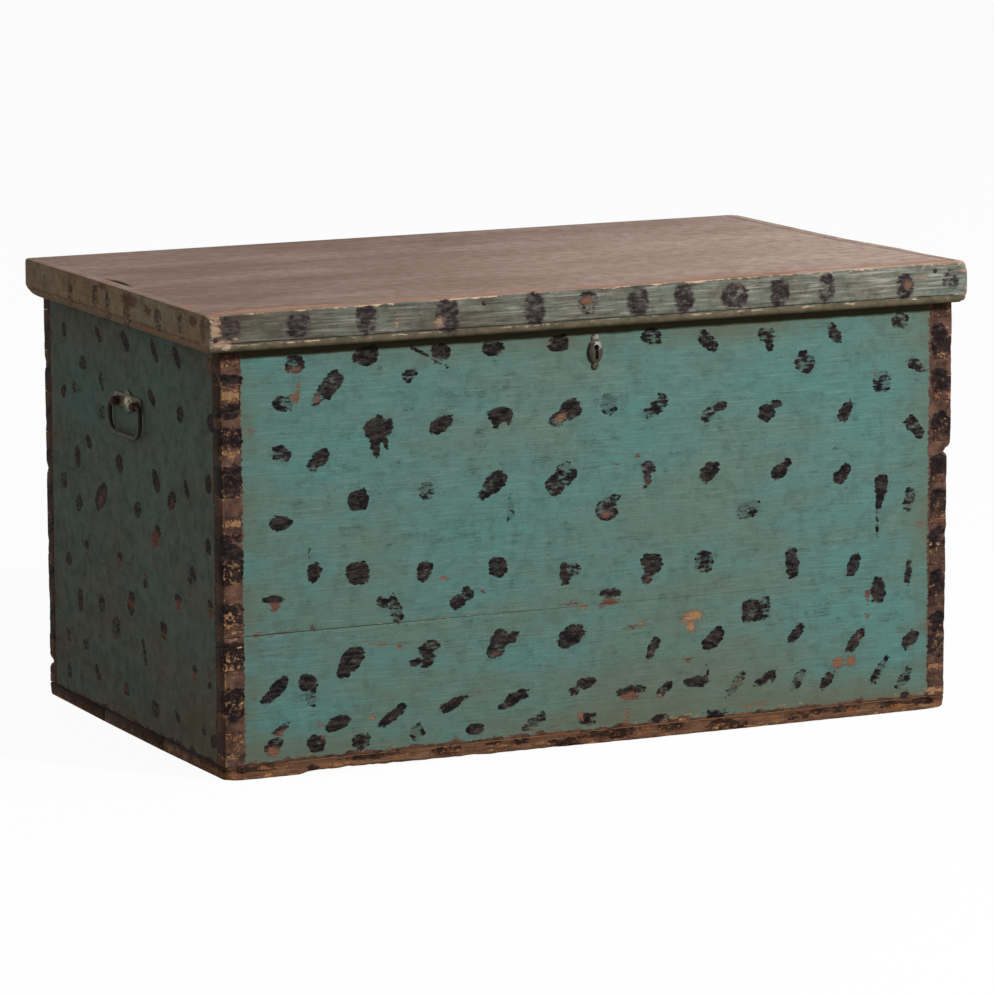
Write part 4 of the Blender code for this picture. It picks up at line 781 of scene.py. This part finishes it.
# How far the warp lifts the right end, how much more the front right corner, and how far it spreads the front
# corners outwards.
END_LIFT, CORNER_LIFT, SPREAD_RIGHT, SPREAD_LEFT = 0.001, 0.0065, 0.0065, 0.006
# How far back the lid is rubbed by hands along the front, and how ragged that ends.
HANDLED, HANDLED_RAGGED = 0.030, 0.022
LID_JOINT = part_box("lid_front_plank")[1].y
LID_FRONT, LID_BACK = cad_low.y, cad_high.y
LID_HALF = cad_high.x
PANEL_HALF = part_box("lid_front_plank")[1].x
LID_TOP = cad_high.z


def warp_lid(places, still):
    """Lifts and spreads the lid's top as it has warped; what lies below the given height stays."""
    over, back = places[:, 0] / LID_HALF, (places[:, 1] - LID_FRONT) / (LID_BACK - LID_FRONT)
    raised = np.clip((places[:, 2] - still) / (LID_TOP - still), 0, 1)
    lift = END_LIFT + CORNER_LIFT * np.clip(1 - back / 0.5, 0, 1)
    places[:, 2] += raised * (0.5 + 0.5 * over) * lift
    ahead = np.clip(0.6 - back, 0, 0.6) / 0.6
    right, left = np.clip((over - 0.85) / 0.10, 0, 1), np.clip((-over - 0.85) / 0.10, 0, 1)
    places[:, 0] += ahead * (SPREAD_RIGHT * right - SPREAD_LEFT * left)
    return places


def close_joint(places):
    """Levels the joint between the lid's boards and the left rail, as far as paint fills it."""
    in_joint = (abs(places[:, 0] + PANEL_HALF) < GROOVE_HALF) & (places[:, 2] > LID_TOP - GROOVE_HALF)
    gaping = np.exp(-((places[:, 1] - LID_GAP[0]) / LID_GAP[1]) ** 2)
    places[:, 2] += in_joint * (1 - gaping) * (LID_TOP - PAINT_UNDER - places[:, 2])
    return places


LID_BROWN = dict(TEAL, coat="#bfa89c", faded="#b1978a", shade="#8e7164", pale="#c8b3a6", crack="#553f34",
                 grime_and_shade="#7c6457", primer="#9a6648", wood="#bd9270", wood_dark="#94694d", strip="#ab7f66",
                 strip_worn="#a07a69", strip_chip="#cfa583")
# The top: mauve-brown streaked with the grain, rubbed to orange along the front, with painted shade that
# darkens it to the left and towards the back and leaves it lighter to the right.
lid_paint = worn_paint("faded_brown_paint_on_lid", STRETCH_X, LID_BROWN, ridges=0.55, even=0.6)

for cad_node, seed in (("lid_front_plank", 21), ("lid_back_plank", 22)):
    plank = board_from(cad_node, "painted_" + cad_node)
    ease_edges(plank, LID_EASED)
    set_inside_apart(plank, UPRIGHT)
    score(plank, ALONG_X, LID_STEP, [0.003 * cut - PANEL_HALF for cut in (1, 2, 3, 4)])
    score(plank, ALONG_Y, LID_STEP)
    show_all(plank)
    places = points_of(plank)
    if cad_node == "lid_front_plank":
        gape = JOINT_GAPE * np.clip((-0.40 - places[:, 0]) / 0.15, 0, 1)
        places[:, 1] -= gape * np.exp(-(LID_JOINT - places[:, 1]) / 0.02)
    # The boards have shrunk from the right rail, which leaves a dark gap. At the left the joint is painted
    # over, but for one gaping place.
    at_right = (places[:, 0] > PANEL_HALF - 0.0025) & (places[:, 2] > LID_TOP - GAP_DEEP)
    places[:, 0] -= at_right * (SHRUNK + SHRUNK_UNEVEN * ripple(places, 0.05, seed))
    gaping = np.exp(-((places[:, 1] - LID_GAP[0]) / LID_GAP[1]) ** 2) * (places[:, 2] > LID_TOP - GAP_DEEP)
    places[:, 0] += GAP_WIDE * gaping * np.clip(1 - (places[:, 0] + PANEL_HALF) / 0.012, 0, 1)
    places = close_joint(places)
    places = warp_lid(places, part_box(cad_node)[0].z + 0.004)
    put_points(plank, places)
    for name, value in (("dab", NO_SPOT), ("flaked", 0), ("bare", NO_SPOT), ("bare_kind", 0)):
        mark(plank, name, np.full(len(places), value))
    from_front = places[:, 1] - LID_FRONT
    mark(plank, "rubbed_and_highlit", 0.45 * np.exp(-from_front / 0.04))
    # Painted shade: darker to the left and towards the back, as if the light fell off from the right.
    grime_and_shade = (0.50 - places[:, 0]) / 0.87 + np.clip((places[:, 1] - 0.05) / 0.45, 0, 0.5)
    mark(plank, "grime_and_shade", np.clip(grime_and_shade, 0, 0.95))
    # Painted shade in the gap where the lid's joint with the left rail gapes.
    from_gap = np.clip(places[:, 0] + PANEL_HALF - GAP_WIDE, 0, 1)
    mark(plank, "soot", np.exp(-((places[:, 1] - LID_GAP[0]) / 0.04) ** 2 - from_gap / 0.003))
    ragged = HANDLED_RAGGED * ripple(places * (0.3, 1, 1), 0.03, seed + 3)
    mark(plank, "strip", (from_front - HANDLED - ragged) * 400)
    plank.data.materials.append(lid_paint)
    plank.data.materials.append(inner_pine)
    for face in plank.data.polygons:
        if face.normal.z < -0.7:
            face.material_index = 1
    finish_piece(plank, cad_node, "lid")


# Lid rails
# Three moulded pine rails nailed round the lid's front and ends, mitred at the front corners, with a bead
# along the foot. Painted like the walls with one row of dabs, worn to bare wood at the corners.

RAIL_STEP = 0.005
RAIL_EASED = 0.0012
CORNER_CUTS = (0.002, 0.0035, 0.0065, 0.0085)  # closer cuts at the ends, for their corners are rounded
BEAD_HEIGHT = 0.010
# The groove above the bead: its height over the rail's foot, half its own height, how far in it lies, and the
# length that paint has choked at each end.
GROOVE_HEIGHT, GROOVE_REACH, GROOVE_INSET, CHOKED_LENGTH = 0.011, 0.004, 0.007, 0.03
# How far the lid's upper right edge is rounded, and an extra cut for it.
ARRIS_RADIUS, ARRIS_CUT = 0.009, 0.0025
# The lid's four corners, and how far each is rounded.
LID_CORNERS = ((LID_HALF, LID_FRONT, 0.016), (-LID_HALF, LID_FRONT, 0.003),
               (-LID_HALF, LID_BACK, 0.006), (LID_HALF, LID_BACK, 0.006))
RAIL_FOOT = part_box("lid_front_rail")[0].z
STILL_BELOW = RAIL_FOOT + 0.016  # the lid's warp leaves what lies under this height
# The front rail's dabs and bare places, as for the walls.
RAIL_DABS = [
    (-543, 612, 22, 26, 0, 0.3), (-445, 611, 30, 28, 0, 0.45), (-348, 611, 26, 34, 0, 0.4),
    (-230, 610, 30, 42, 0, 0.45), (-101, 612, 26, 40, 0, 0.35), (-20, 615, 26, 26, 0, 0.7),
    (56, 612, 28, 34, 0, 0.3), (126, 613, 24, 36, 0, 0.35), (204, 611, 34, 30, 0, 0.5),
    (274, 611, 26, 34, 0, 0.4), (346, 612, 22, 30, 0, 0.5), (470, 609, 22, 28, 0, 0.6),
    (544, 614, 20, 22, 0, 0.75),
]
RAIL_BARE = [
    (-564, 612, 18, 44, 0, 0.8), (-554, 592, 34, 14, 0, 0.9), (-535, 600, 9, 9, 0, 1.0),
    (-240, 602, 16, 18, 0, 0.6), (-303, 610, 6, 44, -8, 0.8), (-20, 618, 20, 12, 0, 0.1),
    (-268, 616, 6, 6, 0, 1.6), (208, 622, 12, 10, 0, 0.5), (499, 621, 16, 6, 0, 0.9),
    (562, 624, 22, 7, 0, 0.9), (566, 594, 9, 16, 0, 0.9), (476, 611, 14, 12, 0, 0.1),
]
# The left rail's own marks, measured from the middle towards the back: smears more than dabs.
END_RAIL_DABS = [
    (168, 605, 12, 26, 0, 0.75), (72, 608, 18, 24, 0, 0.6), (23, 598, 12, 30, 0, 0.8),
    (-51, 598, 16, 34, 0, 0.7), (-169, 606, 18, 26, 0, 0.6), (-250, 612, 12, 26, 0, 0.8),
]
END_RAIL_BARE = [
    (160, 622, 34, 18, 0, 0.5), (41, 625, 40, 12, 0, 0.2), (-60, 618, 60, 20, 0, 0.0),
    (-130, 612, 30, 14, 0, 0.0), (-172, 624, 18, 14, 0, 1.0), (-250, 627, 70, 8, 0, 0.6),
    (-335, 612, 22, 40, 0, 0.2), (-300, 618, 30, 16, 0, 0.0),
]


def round_corner(places, corner_x, corner_y, radius):
    """Rounds an upright corner of the lid in plan, and the ends of its top and bottom edges with it."""
    in_x = np.clip(radius - abs(places[:, 0] - corner_x), 0, radius)
    in_y = np.clip(radius - abs(places[:, 1] - corner_y), 0, radius)
    in_z = np.maximum(np.clip(places[:, 2] - (LID_TOP - radius), 0, radius),
                      np.clip(RAIL_FOOT + radius - places[:, 2], 0, radius))
    part = np.clip(np.minimum(in_x, in_y) / (0.35 * radius), 0, 1)
    too_far = np.maximum(np.sqrt(in_x ** 2 + in_y ** 2 + in_z ** 2), radius)
    keep = 1 - part * (1 - radius / too_far)
    places[:, 0] += np.sign(corner_x) * in_x * (keep - 1)
    places[:, 1] += np.sign(corner_y) * in_y * (keep - 1)
    up = np.where(places[:, 2] > (LID_TOP + RAIL_FOOT) / 2, 1, -1)
    places[:, 2] += up * in_z * (keep - 1)
    return places


def round_right_arris(places, radius):
    """Rounds the upper right edge of the lid, rubbed near the front where it is lifted from."""
    in_x = np.clip(radius - LID_HALF + places[:, 0], 0, radius)
    in_z = np.clip(places[:, 2] - LID_TOP + radius, 0, radius)
    part = np.clip(1 - (places[:, 1] - LID_FRONT - 0.05) / 0.15, 0, 1)
    keep = 1 - part * (1 - radius / np.maximum(np.hypot(in_x, in_z), radius))
    places[:, 0] += in_x * (keep - 1)
    places[:, 2] += in_z * (keep - 1)
    return places


# The rail's wood and strip_chip are pale cream for painted highlights on the upper edge and the bead, as well
# as for chips; its darker strip is the bead, in part painted shade.
RAIL_GREEN = dict(TEAL, coat="#747b71", faded="#756f61", shade="#474a41", pale="#a8a99d", crack="#2a2a22",
                  grime_and_shade="#493e32", strip="#4f4a3a", strip_worn="#6a5d4b", strip_chip="#b9ab95", dab="#2a2425",
                  dab_worn="#524747", wood="#ccb195", wood_dark="#6b452e", primer="#6f4b3c")
# The front rail: grey-green, pale ridges along the grain that are partly painted glints, smudged dabs, and
# a cream line on the upper edge that is painted highlight as well as chipping.
rail_paint = worn_paint("worn_green_paint_on_front_rail", STRETCH_X, RAIL_GREEN, ridges=0.8, smudged=4.0)
# The end rails: the same gone olive and brown.
END_RAIL_GREEN = dict(RAIL_GREEN, coat="#9b8d71", faded="#a98a6b", shade="#6f5e48", grime_and_shade="#9b745c",
                      dab="#3d332b", dab_worn="#5d4d3d", strip="#877058", strip_worn="#967a60")
end_rail_paint = worn_paint("worn_green_paint_on_end_rails", STRETCH_Y, END_RAIL_GREEN, ridges=0.4,
                            smudged=5.0)

for cad_node, run, paint, seed in (("lid_front_rail", ALONG_X, rail_paint, 31),
                                   ("lid_left_rail", ALONG_Y, end_rail_paint, 32),
                                   ("lid_right_rail", ALONG_Y, end_rail_paint, 33)):
    rail = board_from(cad_node, "moulded_" + cad_node)
    ease_edges(rail, RAIL_EASED)
    corner_cuts = [LID_HALF - cut if run == ALONG_X else LID_FRONT + cut for cut in CORNER_CUTS]
    edge_cuts = [LID_TOP - cut for cut in CORNER_CUTS] + [RAIL_FOOT + cut for cut in CORNER_CUTS]
    arris_cuts = [LID_HALF - ARRIS_CUT] if cad_node == "lid_right_rail" else []
    score(rail, run, RAIL_STEP, corner_cuts)
    score(rail, UPRIGHT, RAIL_STEP, edge_cuts)
    score(rail, ALONG_X + ALONG_Y - run, RAIL_STEP, arris_cuts)
    places = close_joint(points_of(rail))
    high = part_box(cad_node)[1]
    outside = np.maximum(abs(places[:, 0]) - LID_HALF, LID_FRONT - places[:, 1])
    # The groove above the bead is choked with paint at the rail's ends.
    if run == ALONG_X:
        by_end = LID_HALF - abs(places[:, 0])
    else:
        by_end = np.minimum(abs(places[:, 1] - LID_FRONT), abs(places[:, 1] - LID_BACK))
    in_groove = ((abs(places[:, 2] - RAIL_FOOT - GROOVE_HEIGHT) < GROOVE_REACH) & (outside > -GROOVE_INSET)
                 & (by_end < CHOKED_LENGTH))
    at_mitre = abs(LID_HALF - abs(places[:, 0]) - places[:, 1] + LID_FRONT) < 0.0015
    outward = np.where(in_groove, -outside, 0)
    places[:, 1] -= outward * ((run == ALONG_X) | at_mitre)
    places[:, 0] += outward * ((run == ALONG_Y) | at_mitre) * np.sign(places[:, 0])
    places = round_right_arris(places, ARRIS_RADIUS)
    for corner_x, corner_y, radius in LID_CORNERS:
        places = round_corner(places, corner_x, corner_y, radius)
    up = places[:, 2].copy()
    from_arris = np.hypot(high.z - up, places[:, 1] - LID_FRONT)
    places = warp_lid(places, STILL_BELOW)
    put_points(rail, places)
    mark_spots(rail, RAIL_DABS if run == ALONG_X else END_RAIL_DABS, run, "dab", "flaked")
    mark_spots(rail, RAIL_BARE if run == ALONG_X else END_RAIL_BARE, run, "bare", "bare_kind")
    mark(rail, "strip", (up - RAIL_FOOT - BEAD_HEIGHT) * 1000)
    # Painted highlights: a cream line along the upper edge, chipped in places, and a pale line along the
    # bead's crown. The front corners are worn to wood.
    arris_chips_and_highlight = np.exp(-from_arris / 0.0025) * (1.1 + 0.8 * ripple(places, 0.03, seed))
    bead_highlight = 0.5 * np.exp(-((up - RAIL_FOOT - 0.0085) / 0.0012) ** 2) * (1 + ripple(places, 0.03, seed + 1))
    corner = 0.7 * np.exp(-np.hypot(abs(places[:, 0]) - LID_HALF, places[:, 1] - LID_FRONT) / 0.008)
    mark(rail, "rubbed_and_highlit", np.clip(arris_chips_and_highlight + bead_highlight + corner, 0, 1.3))
    # Darker to the left on the front rail and towards the back on the end rails; the tops take the lid's
    # painted shade, but for the right end, which is left lighter.
    by_back = np.clip((places[:, 1] - 0.25) / 0.04, 0.15, 1)
    by_left = np.clip(0.38 - 1.1 * places[:, 0], 0, 1)
    mark(rail, "grime_and_shade", np.where(up > high.z - 0.002, 0.8 - 0.6 * (places[:, 0] > 0.3),
                                 by_left if run == ALONG_X else by_back))
    rail.data.materials.append(paint)
    rail.data.materials.append(lid_paint)
    for face in rail.data.polygons:
        if face.normal.z > 0.8 and face.center.z > high.z - 0.002:
            face.material_index = 1
    finish_piece(rail, cad_node, "lid")


# Hinges
# Two forged strap hinges: a strap under the lid, a leaf down the back and a pin through their knuckles.
# Nailed on, and gone brown with rust.

# How far apart the rust's blotches and pits lie, in mm.
RUST_BLOTCHES, RUST_PITS = 8.0, 2.0
IRON_EASED = 0.0004


def rusted_iron(name, dark, brown, orange, bright_and_highlight):
    """Old forged iron: near black, mottled brown with rust, pitted, rubbed bright in places, and painted
    bright as a highlight where that is marked.
    """
    material, tree = empty_material(name)
    place = node(tree, "TexCoord")["Object"]
    handled_and_highlit = node(tree, "Attribute", attribute_name="rubbed_and_highlit")["Fac"]
    mottle, pits = [node(tree, "TexNoise", {"Vector": place, "Scale": 1000 / apart, "Detail": detail,
                                            "Roughness": 0.65})["Fac"]
                    for apart, detail in ((RUST_BLOTCHES, 6), (RUST_PITS, 4))]
    # Bright where rubbed, and as painted highlight where marked.
    rub_and_highlight = node(tree, "Math", {0: handled_and_highlit, 1: 0.5, 2: mottle}, operation="MULTIPLY_ADD")["Value"]
    colour = linear(dark)
    for pattern, starts, full, onto in ((mottle, 0.42, 0.6, brown), (pits, 0.58, 0.7, orange),
                                        (rub_and_highlight, 0.70, 0.85, bright_and_highlight)):
        part = node(tree, "MapRange", {"Value": pattern, "From Min": starts, "From Max": full})["Result"]
        colour = node(tree, "Mix", {0: part, 6: colour, 7: linear(onto)}, data_type="RGBA")[2]
    shine = node(tree, "MapRange", {"Value": mottle, "From Min": 0.35, "From Max": 0.65, "To Min": 0.38,
                                    "To Max": 0.7})["Result"]
    height = node(tree, "Math", {0: mottle, 1: 0.8, 2: pits}, operation="MULTIPLY_ADD")["Value"]
    relief = node(tree, "Bump", {"Height": height, "Strength": 0.7, "Distance": 0.0006})["Normal"]
    surface = node(tree, "BsdfPrincipled", {"Base Color": colour, "Roughness": shine, "Normal": relief,
                                            "Metallic": 0.35, "Specular IOR Level": 0.15})["BSDF"]
    node(tree, "OutputMaterial", {"Surface": surface})
    return material


# A nail's head, as shares of its width: its rim's height, two steps in and up, and how far these sit askew.
HEAD_RIM, HEAD_STEPS, HEAD_ASKEW = 0.08, ((0.10, 0.06), (0.16, 0.03)), 0.03


def drive_nails(name, heads, body, iron, seed):
    """Hammers a row of nails home: a low, dented head for each place, way it looks and width."""
    chance = random.Random(seed)
    made = []
    for place, facing, across in heads:
        bpy.ops.object.select_all(action="DESELECT")
        bpy.ops.mesh.primitive_circle_add(vertices=10, radius=across / 2, fill_type="NGON")
        head = bpy.context.object
        bpy.ops.object.mode_set(mode="EDIT")
        bpy.ops.mesh.select_all(action="SELECT")
        bpy.ops.mesh.extrude_region_move(TRANSFORM_OT_translate={"value": (0, 0, across * HEAD_RIM)})
        for narrower, higher in HEAD_STEPS:
            bpy.ops.mesh.inset(thickness=across * narrower)
            askew = across * chance.uniform(-HEAD_ASKEW, HEAD_ASKEW)
            bpy.ops.transform.translate(value=(askew, 0, across * higher))
        bpy.ops.mesh.select_all(action="SELECT")
        bpy.ops.mesh.normals_make_consistent(inside=False)
        bpy.ops.object.mode_set(mode="OBJECT")
        turn = Matrix.Rotation(chance.uniform(0, 6.28), 4, "Z")
        head.matrix_world = (Matrix.Translation(place)
                             @ Vector(facing).to_track_quat("Z", "Y").to_matrix().to_4x4() @ turn)
        made.append(head)
    for head in made:
        head.select_set(True)
    bpy.context.view_layer.objects.active = made[0]
    bpy.ops.object.join()
    bpy.ops.object.transform_apply(location=True, rotation=True, scale=True)
    nails = bpy.context.object
    nails.name = nails.data.name = name
    nails.data.materials.append(iron)
    bpy.ops.object.shade_smooth_by_angle(angle=FLAT_SHADING)
    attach(nails, body)


# Where the straps' nails lie from front to back, and the leaves' nails above the floor.
STRAP_NAILS, LEAF_NAILS = (0.055, 0.15, 0.25), (0.450, 0.500, 0.552)
HINGE_NAIL_HEAD = 0.008
STRAP_FLAT, LEAF_FLAT = 0.30, 0.57  # the straps are flat ahead of this place, the leaves below this height
# What the hinges and nails show: black-brown with rust.
black_iron = rusted_iron("rusted_forged_iron", "#2a2523", "#46352b", "#6b4630", "#6d6258")

for cad_node, body in (("left_lid_strap", "lid"), ("right_lid_strap", "lid"), ("left_hinge_leaf", "carcass"),
                       ("right_hinge_leaf", "carcass"), ("left_hinge_pin", "carcass"),
                       ("right_hinge_pin", "carcass")):
    iron = board_from(cad_node, "forged_" + cad_node)
    places = points_of(iron)
    if "strap" in cad_node:
        flat = places[places[:, 1] < STRAP_FLAT, 2].min()
        drive_nails("nails_of_" + cad_node, [((places[:, 0].mean(), y, flat), (0, 0, -1), HINGE_NAIL_HEAD)
                                             for y in STRAP_NAILS], body, black_iron, 41)
    elif "leaf" in cad_node:
        flat = places[places[:, 2] < LEAF_FLAT, 1].max()
        drive_nails("nails_of_" + cad_node, [((places[:, 0].mean(), flat, z), (0, 1, 0), HINGE_NAIL_HEAD)
                                             for z in LEAF_NAILS], body, black_iron, 42)
    ease_edges(iron, IRON_EASED)
    iron.data.materials.append(black_iron)
    finish_piece(iron, cad_node, body)


# Lock and escutcheon
# A box lock nailed inside the front: plate, case, bolt in its two keepers, spring and key post. The staple
# hangs from the lid, and a small iron escutcheon rims the keyhole outside.

# The escutcheon: grey worn iron, with painted highlights on its swellings and round the keyhole.
worn_iron = rusted_iron("worn_grey_iron", "#3b382f", "#504a3e", "#5f4f3e", "#86827a")
# Where the painted highlight round the keyhole lies, which the key has also rubbed: from the middle, above
# the floor, and how far round.
KEY_HIGHLIGHT_X, KEY_HIGHLIGHT_Z, KEY_HIGHLIGHT_REACH = 0.003, 0.553, 0.007

for cad_node, body in (("escutcheon", "carcass"), ("lock_plate", "carcass"), ("lock_case", "carcass"),
                       ("bolt_keeper_left", "carcass"), ("bolt_keeper_right", "carcass"),
                       ("lock_bolt", "bolt"), ("lock_spring", "carcass"), ("key_post", "carcass"),
                       ("lock_staple", "lid")):
    iron = board_from(cad_node, "forged_" + cad_node)
    ease_edges(iron, IRON_EASED)
    if cad_node == "escutcheon":
        places = points_of(iron)
        low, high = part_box(cad_node)
        up = places[:, 2]
        # Painted highlights on the upper lobe, more faintly on the lower one, and round the keyhole.
        lobe_highlights = np.exp(-abs(up - high.z + 0.006) / 0.004) + 0.5 * np.exp(-abs(up - low.z - 0.005) / 0.004)
        keyhole_highlight = 0.8 * (np.hypot(places[:, 0] - KEY_HIGHLIGHT_X, up - KEY_HIGHLIGHT_Z) < KEY_HIGHLIGHT_REACH)
        mark(iron, "rubbed_and_highlit", np.clip(lobe_highlights + keyhole_highlight, 0, 1))
    iron.data.materials.append(worn_iron if cad_node == "escutcheon" else black_iron)
    finish_piece(iron, cad_node, body)

# One nail to each corner of the plate: how far from its middle, at which heights, and how wide the heads are.
LOCK_NAIL_OUT, LOCK_NAIL_HEIGHTS, LOCK_NAIL_HEAD = 0.063, (0.514, 0.588), 0.006
plate_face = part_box("lock_plate")[1].y
drive_nails("nails_of_lock", [((side * LOCK_NAIL_OUT, plate_face, up), (0, 1, 0), LOCK_NAIL_HEAD)
                              for side in (-1, 1) for up in LOCK_NAIL_HEIGHTS], "carcass", black_iron, 43)


# Handles
# A drop handle on each end: a plate with a boss, two posts bored across, and a bail that swings in them. The
# plates were painted over with the wall, and the posts' ends are clenched inside it.

BAIL_HEIGHT, POST_OUT = 0.467, 0.036
BOSS_HEIGHT, BOSS_HIGHLIGHT = 0.468, 0.012
CLENCHED_HEAD = 0.009
# The plates: olive paint over iron, with a painted cream highlight on the rubbed boss.
painted_iron = rusted_iron("painted_over_iron", "#45432f", "#5d5a44", "#3a2c20", "#c4bc9e")
# The posts: brown rust.
red_iron = rusted_iron("red_rusted_iron", "#2b1d18", "#4d2e22", "#7d4a33", "#8a6a52")
# The bails: black from hands, a little red where it is thin.
dark_iron = rusted_iron("handled_black_iron", "#1f1b19", "#2e2522", "#54352b", "#5d5049")

for cad_node, body in (("left_handle_plate", "carcass"), ("right_handle_plate", "carcass"),
                       ("left_front_post", "carcass"), ("left_back_post", "carcass"),
                       ("right_front_post", "carcass"), ("right_back_post", "carcass"),
                       ("left_bail", "left_handle"), ("right_bail", "right_handle")):
    iron = board_from(cad_node, "forged_" + cad_node)
    ease_edges(iron, IRON_EASED)
    if "plate" in cad_node:
        places = points_of(iron)
        # A painted highlight on the boss, fading outwards.
        mark(iron, "rubbed_and_highlit", np.exp(-np.hypot(places[:, 1], places[:, 2] - BOSS_HEIGHT) / BOSS_HIGHLIGHT))
    finishes = {"plate": painted_iron, "post": red_iron, "bail": dark_iron}
    iron.data.materials.append(finishes[cad_node.split("_")[-1]])
    finish_piece(iron, cad_node, body)

inner_face = CARCASS_HALF[0] - WALL_THICK
for side, hand in ((-1, "left"), (1, "right")):
    ends = [((side * inner_face, y, BAIL_HEIGHT), (-side, 0, 0), CLENCHED_HEAD)
            for y in (-POST_OUT, POST_OUT)]
    drive_nails("clenched_ends_of_" + hand + "_posts", ends, "carcass", black_iron, 44)


# Nails of rails and bottom
# Forged nails through the rails into the lid's edges, and up through the bottom boards into the walls. Their
# heads are hammered home, and those of the end rails were painted over.

# The front rail's nails from the middle and above the floor, the end rails' from the middle towards the
# back, and the bottom boards' along and across.
FRONT_RAIL_NAILS = ((-0.558, 0.598), (-0.175, 0.622), (0.207, 0.619), (0.515, 0.622))
END_RAIL_NAILS, END_NAIL_HEIGHT = (-0.22, 0.03, 0.27), 0.613
BOTTOM_NAILS, BOTTOM_NAIL_ROWS = (-0.53, -0.27, 0.0, 0.27, 0.53), (-0.315, 0.315)
FRONT_NAIL_HEAD, END_NAIL_HEAD, BOTTOM_NAIL_HEAD = 0.007, 0.006, 0.009
BOTTOM_NAILS_SUNK = 0.0016  # clear of the floor

front_nails = warp_lid(np.array([(x, LID_FRONT, z) for x, z in FRONT_RAIL_NAILS]), STILL_BELOW)
drive_nails("nails_of_front_rail", [(place, (0, -1, 0), FRONT_NAIL_HEAD) for place in front_nails], "lid",
            black_iron, 45)
for side, hand in ((-1, "left"), (1, "right")):
    end_nails = np.array([(side * LID_HALF, y, END_NAIL_HEIGHT) for y in END_RAIL_NAILS])
    heads = [(place, (side, 0, 0), END_NAIL_HEAD) for place in warp_lid(end_nails, STILL_BELOW)]
    drive_nails("painted_nails_of_" + hand + "_rail", heads, "lid", painted_iron, 47)
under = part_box("bottom_front_plank")[0].z + BOTTOM_NAILS_SUNK
drive_nails("nails_of_bottom", [((x, y, under), (0, 0, -1), BOTTOM_NAIL_HEAD) for x in BOTTOM_NAILS
                                for y in BOTTOM_NAIL_ROWS], "carcass", black_iron, 46)


# Floor, light and camera
# A white studio floor that keeps a faint shadow, one large soft lamp ahead to the right, and a camera at the
# photo's height and distance.

LAMP_PLACE, LAMP_AIM, LAMP_WIDTH, LAMP_POWER = (3.2, -5.2, 4.2), (0, 0, 0.35), 0.7, 500
CAMERA_PLACE, CAMERA_LENS = (-3.322, -7.081, 1.603), 202.4
CAMERA_TURN, CAMERA_DIP, CAMERA_TILT = 25.18, 9.50, -0.29  # degrees
FLOOR_WIDE = 40
FLOOR_DUST = 333.3  # mm between the patches of dust that dull the floor


def seen_white(tree):
    """1 for rays from the camera, straight or by way of the iron, which find a white studio all round."""
    path = node(tree, "LightPath")
    seen = path["Is Camera Ray"]
    for way in ("Is Glossy Ray", "Is Transmission Ray"):
        seen = node(tree, "Math", {0: seen, 1: path[way]}, operation="MAXIMUM")["Value"]
    return seen


bpy.ops.object.select_all(action="DESELECT")
bpy.ops.mesh.primitive_plane_add(size=FLOOR_WIDE, location=(0, 0, 0))
floor = bpy.context.object
floor.name = "studio_floor"
# The floor: matt white card that shows the shadow and little else.
floor_white, tree = empty_material("white_studio_floor")
place = node(tree, "TexCoord")["Object"]
dust = node(tree, "TexNoise", {"Vector": place, "Scale": 1000 / FLOOR_DUST, "Detail": 3})["Fac"]
shine = node(tree, "MapRange", {"Value": dust, "To Min": 0.7, "To Max": 0.9})["Result"]
seen = seen_white(tree)
floor_tint = node(tree, "Mix", {0: seen, 6: linear("#8a8a8a"), 7: linear("#f6f6f6")}, data_type="RGBA")[2]
matt = node(tree, "BsdfPrincipled", {"Base Color": floor_tint, "Roughness": shine,
                                     "Specular IOR Level": 0.1})["BSDF"]
glow = node(tree, "Emission", {"Color": linear("#ffffff"), "Strength": 1.0})["Emission"]
share = node(tree, "MapRange", {"Value": seen, "To Max": 0.95})["Result"]
surface = node(tree, "MixShader", {0: share, 1: matt, 2: glow})["Shader"]
node(tree, "OutputMaterial", {"Surface": surface})
floor.data.materials.append(floor_white)

lamp_data = bpy.data.lights.new("soft_lamp", "AREA")
lamp_data.size = LAMP_WIDTH
lamp_data.energy = LAMP_POWER
lamp = bpy.data.objects.new("soft_lamp", lamp_data)
bpy.context.scene.collection.objects.link(lamp)
lamp.location = LAMP_PLACE
lamp.rotation_euler = (Vector(LAMP_AIM) - lamp.location).to_track_quat("-Z", "Y").to_euler()

world = bpy.data.worlds.new("white_studio")
world.use_nodes = True
bpy.context.scene.world = world
tree = world.node_tree
tree.nodes.clear()
seen = seen_white(tree)
strength = node(tree, "MapRange", {"Value": seen, "To Min": 0.30, "To Max": 1.0})["Result"]
sky = node(tree, "Background", {"Color": linear("#ffffff"), "Strength": strength})["Background"]
node(tree, "OutputWorld", {"Surface": sky})

camera_data = bpy.data.cameras.new("photo_camera")
camera_data.lens = CAMERA_LENS
camera_data.sensor_width = 36
camera_data.sensor_fit = "HORIZONTAL"
camera_data.clip_end = 50
camera = bpy.data.objects.new("photo_camera", camera_data)
bpy.context.scene.collection.objects.link(camera)
turn, dip, tilt = [math.radians(angle) for angle in (CAMERA_TURN, CAMERA_DIP, CAMERA_TILT)]
ahead = Vector((math.sin(turn) * math.cos(dip), math.cos(turn) * math.cos(dip), -math.sin(dip)))
right = Vector((math.cos(turn), -math.sin(turn), 0))
upward = right.cross(ahead)
right, upward = (right * math.cos(tilt) + upward * math.sin(tilt),
                 upward * math.cos(tilt) - right * math.sin(tilt))
view = Matrix((right, upward, -ahead)).transposed().to_4x4()
view.translation = CAMERA_PLACE
camera.matrix_world = view
bpy.context.scene.camera = camera
bpy.context.scene.view_settings.view_transform = "Standard"

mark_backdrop(floor, lamp, camera)
low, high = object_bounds()
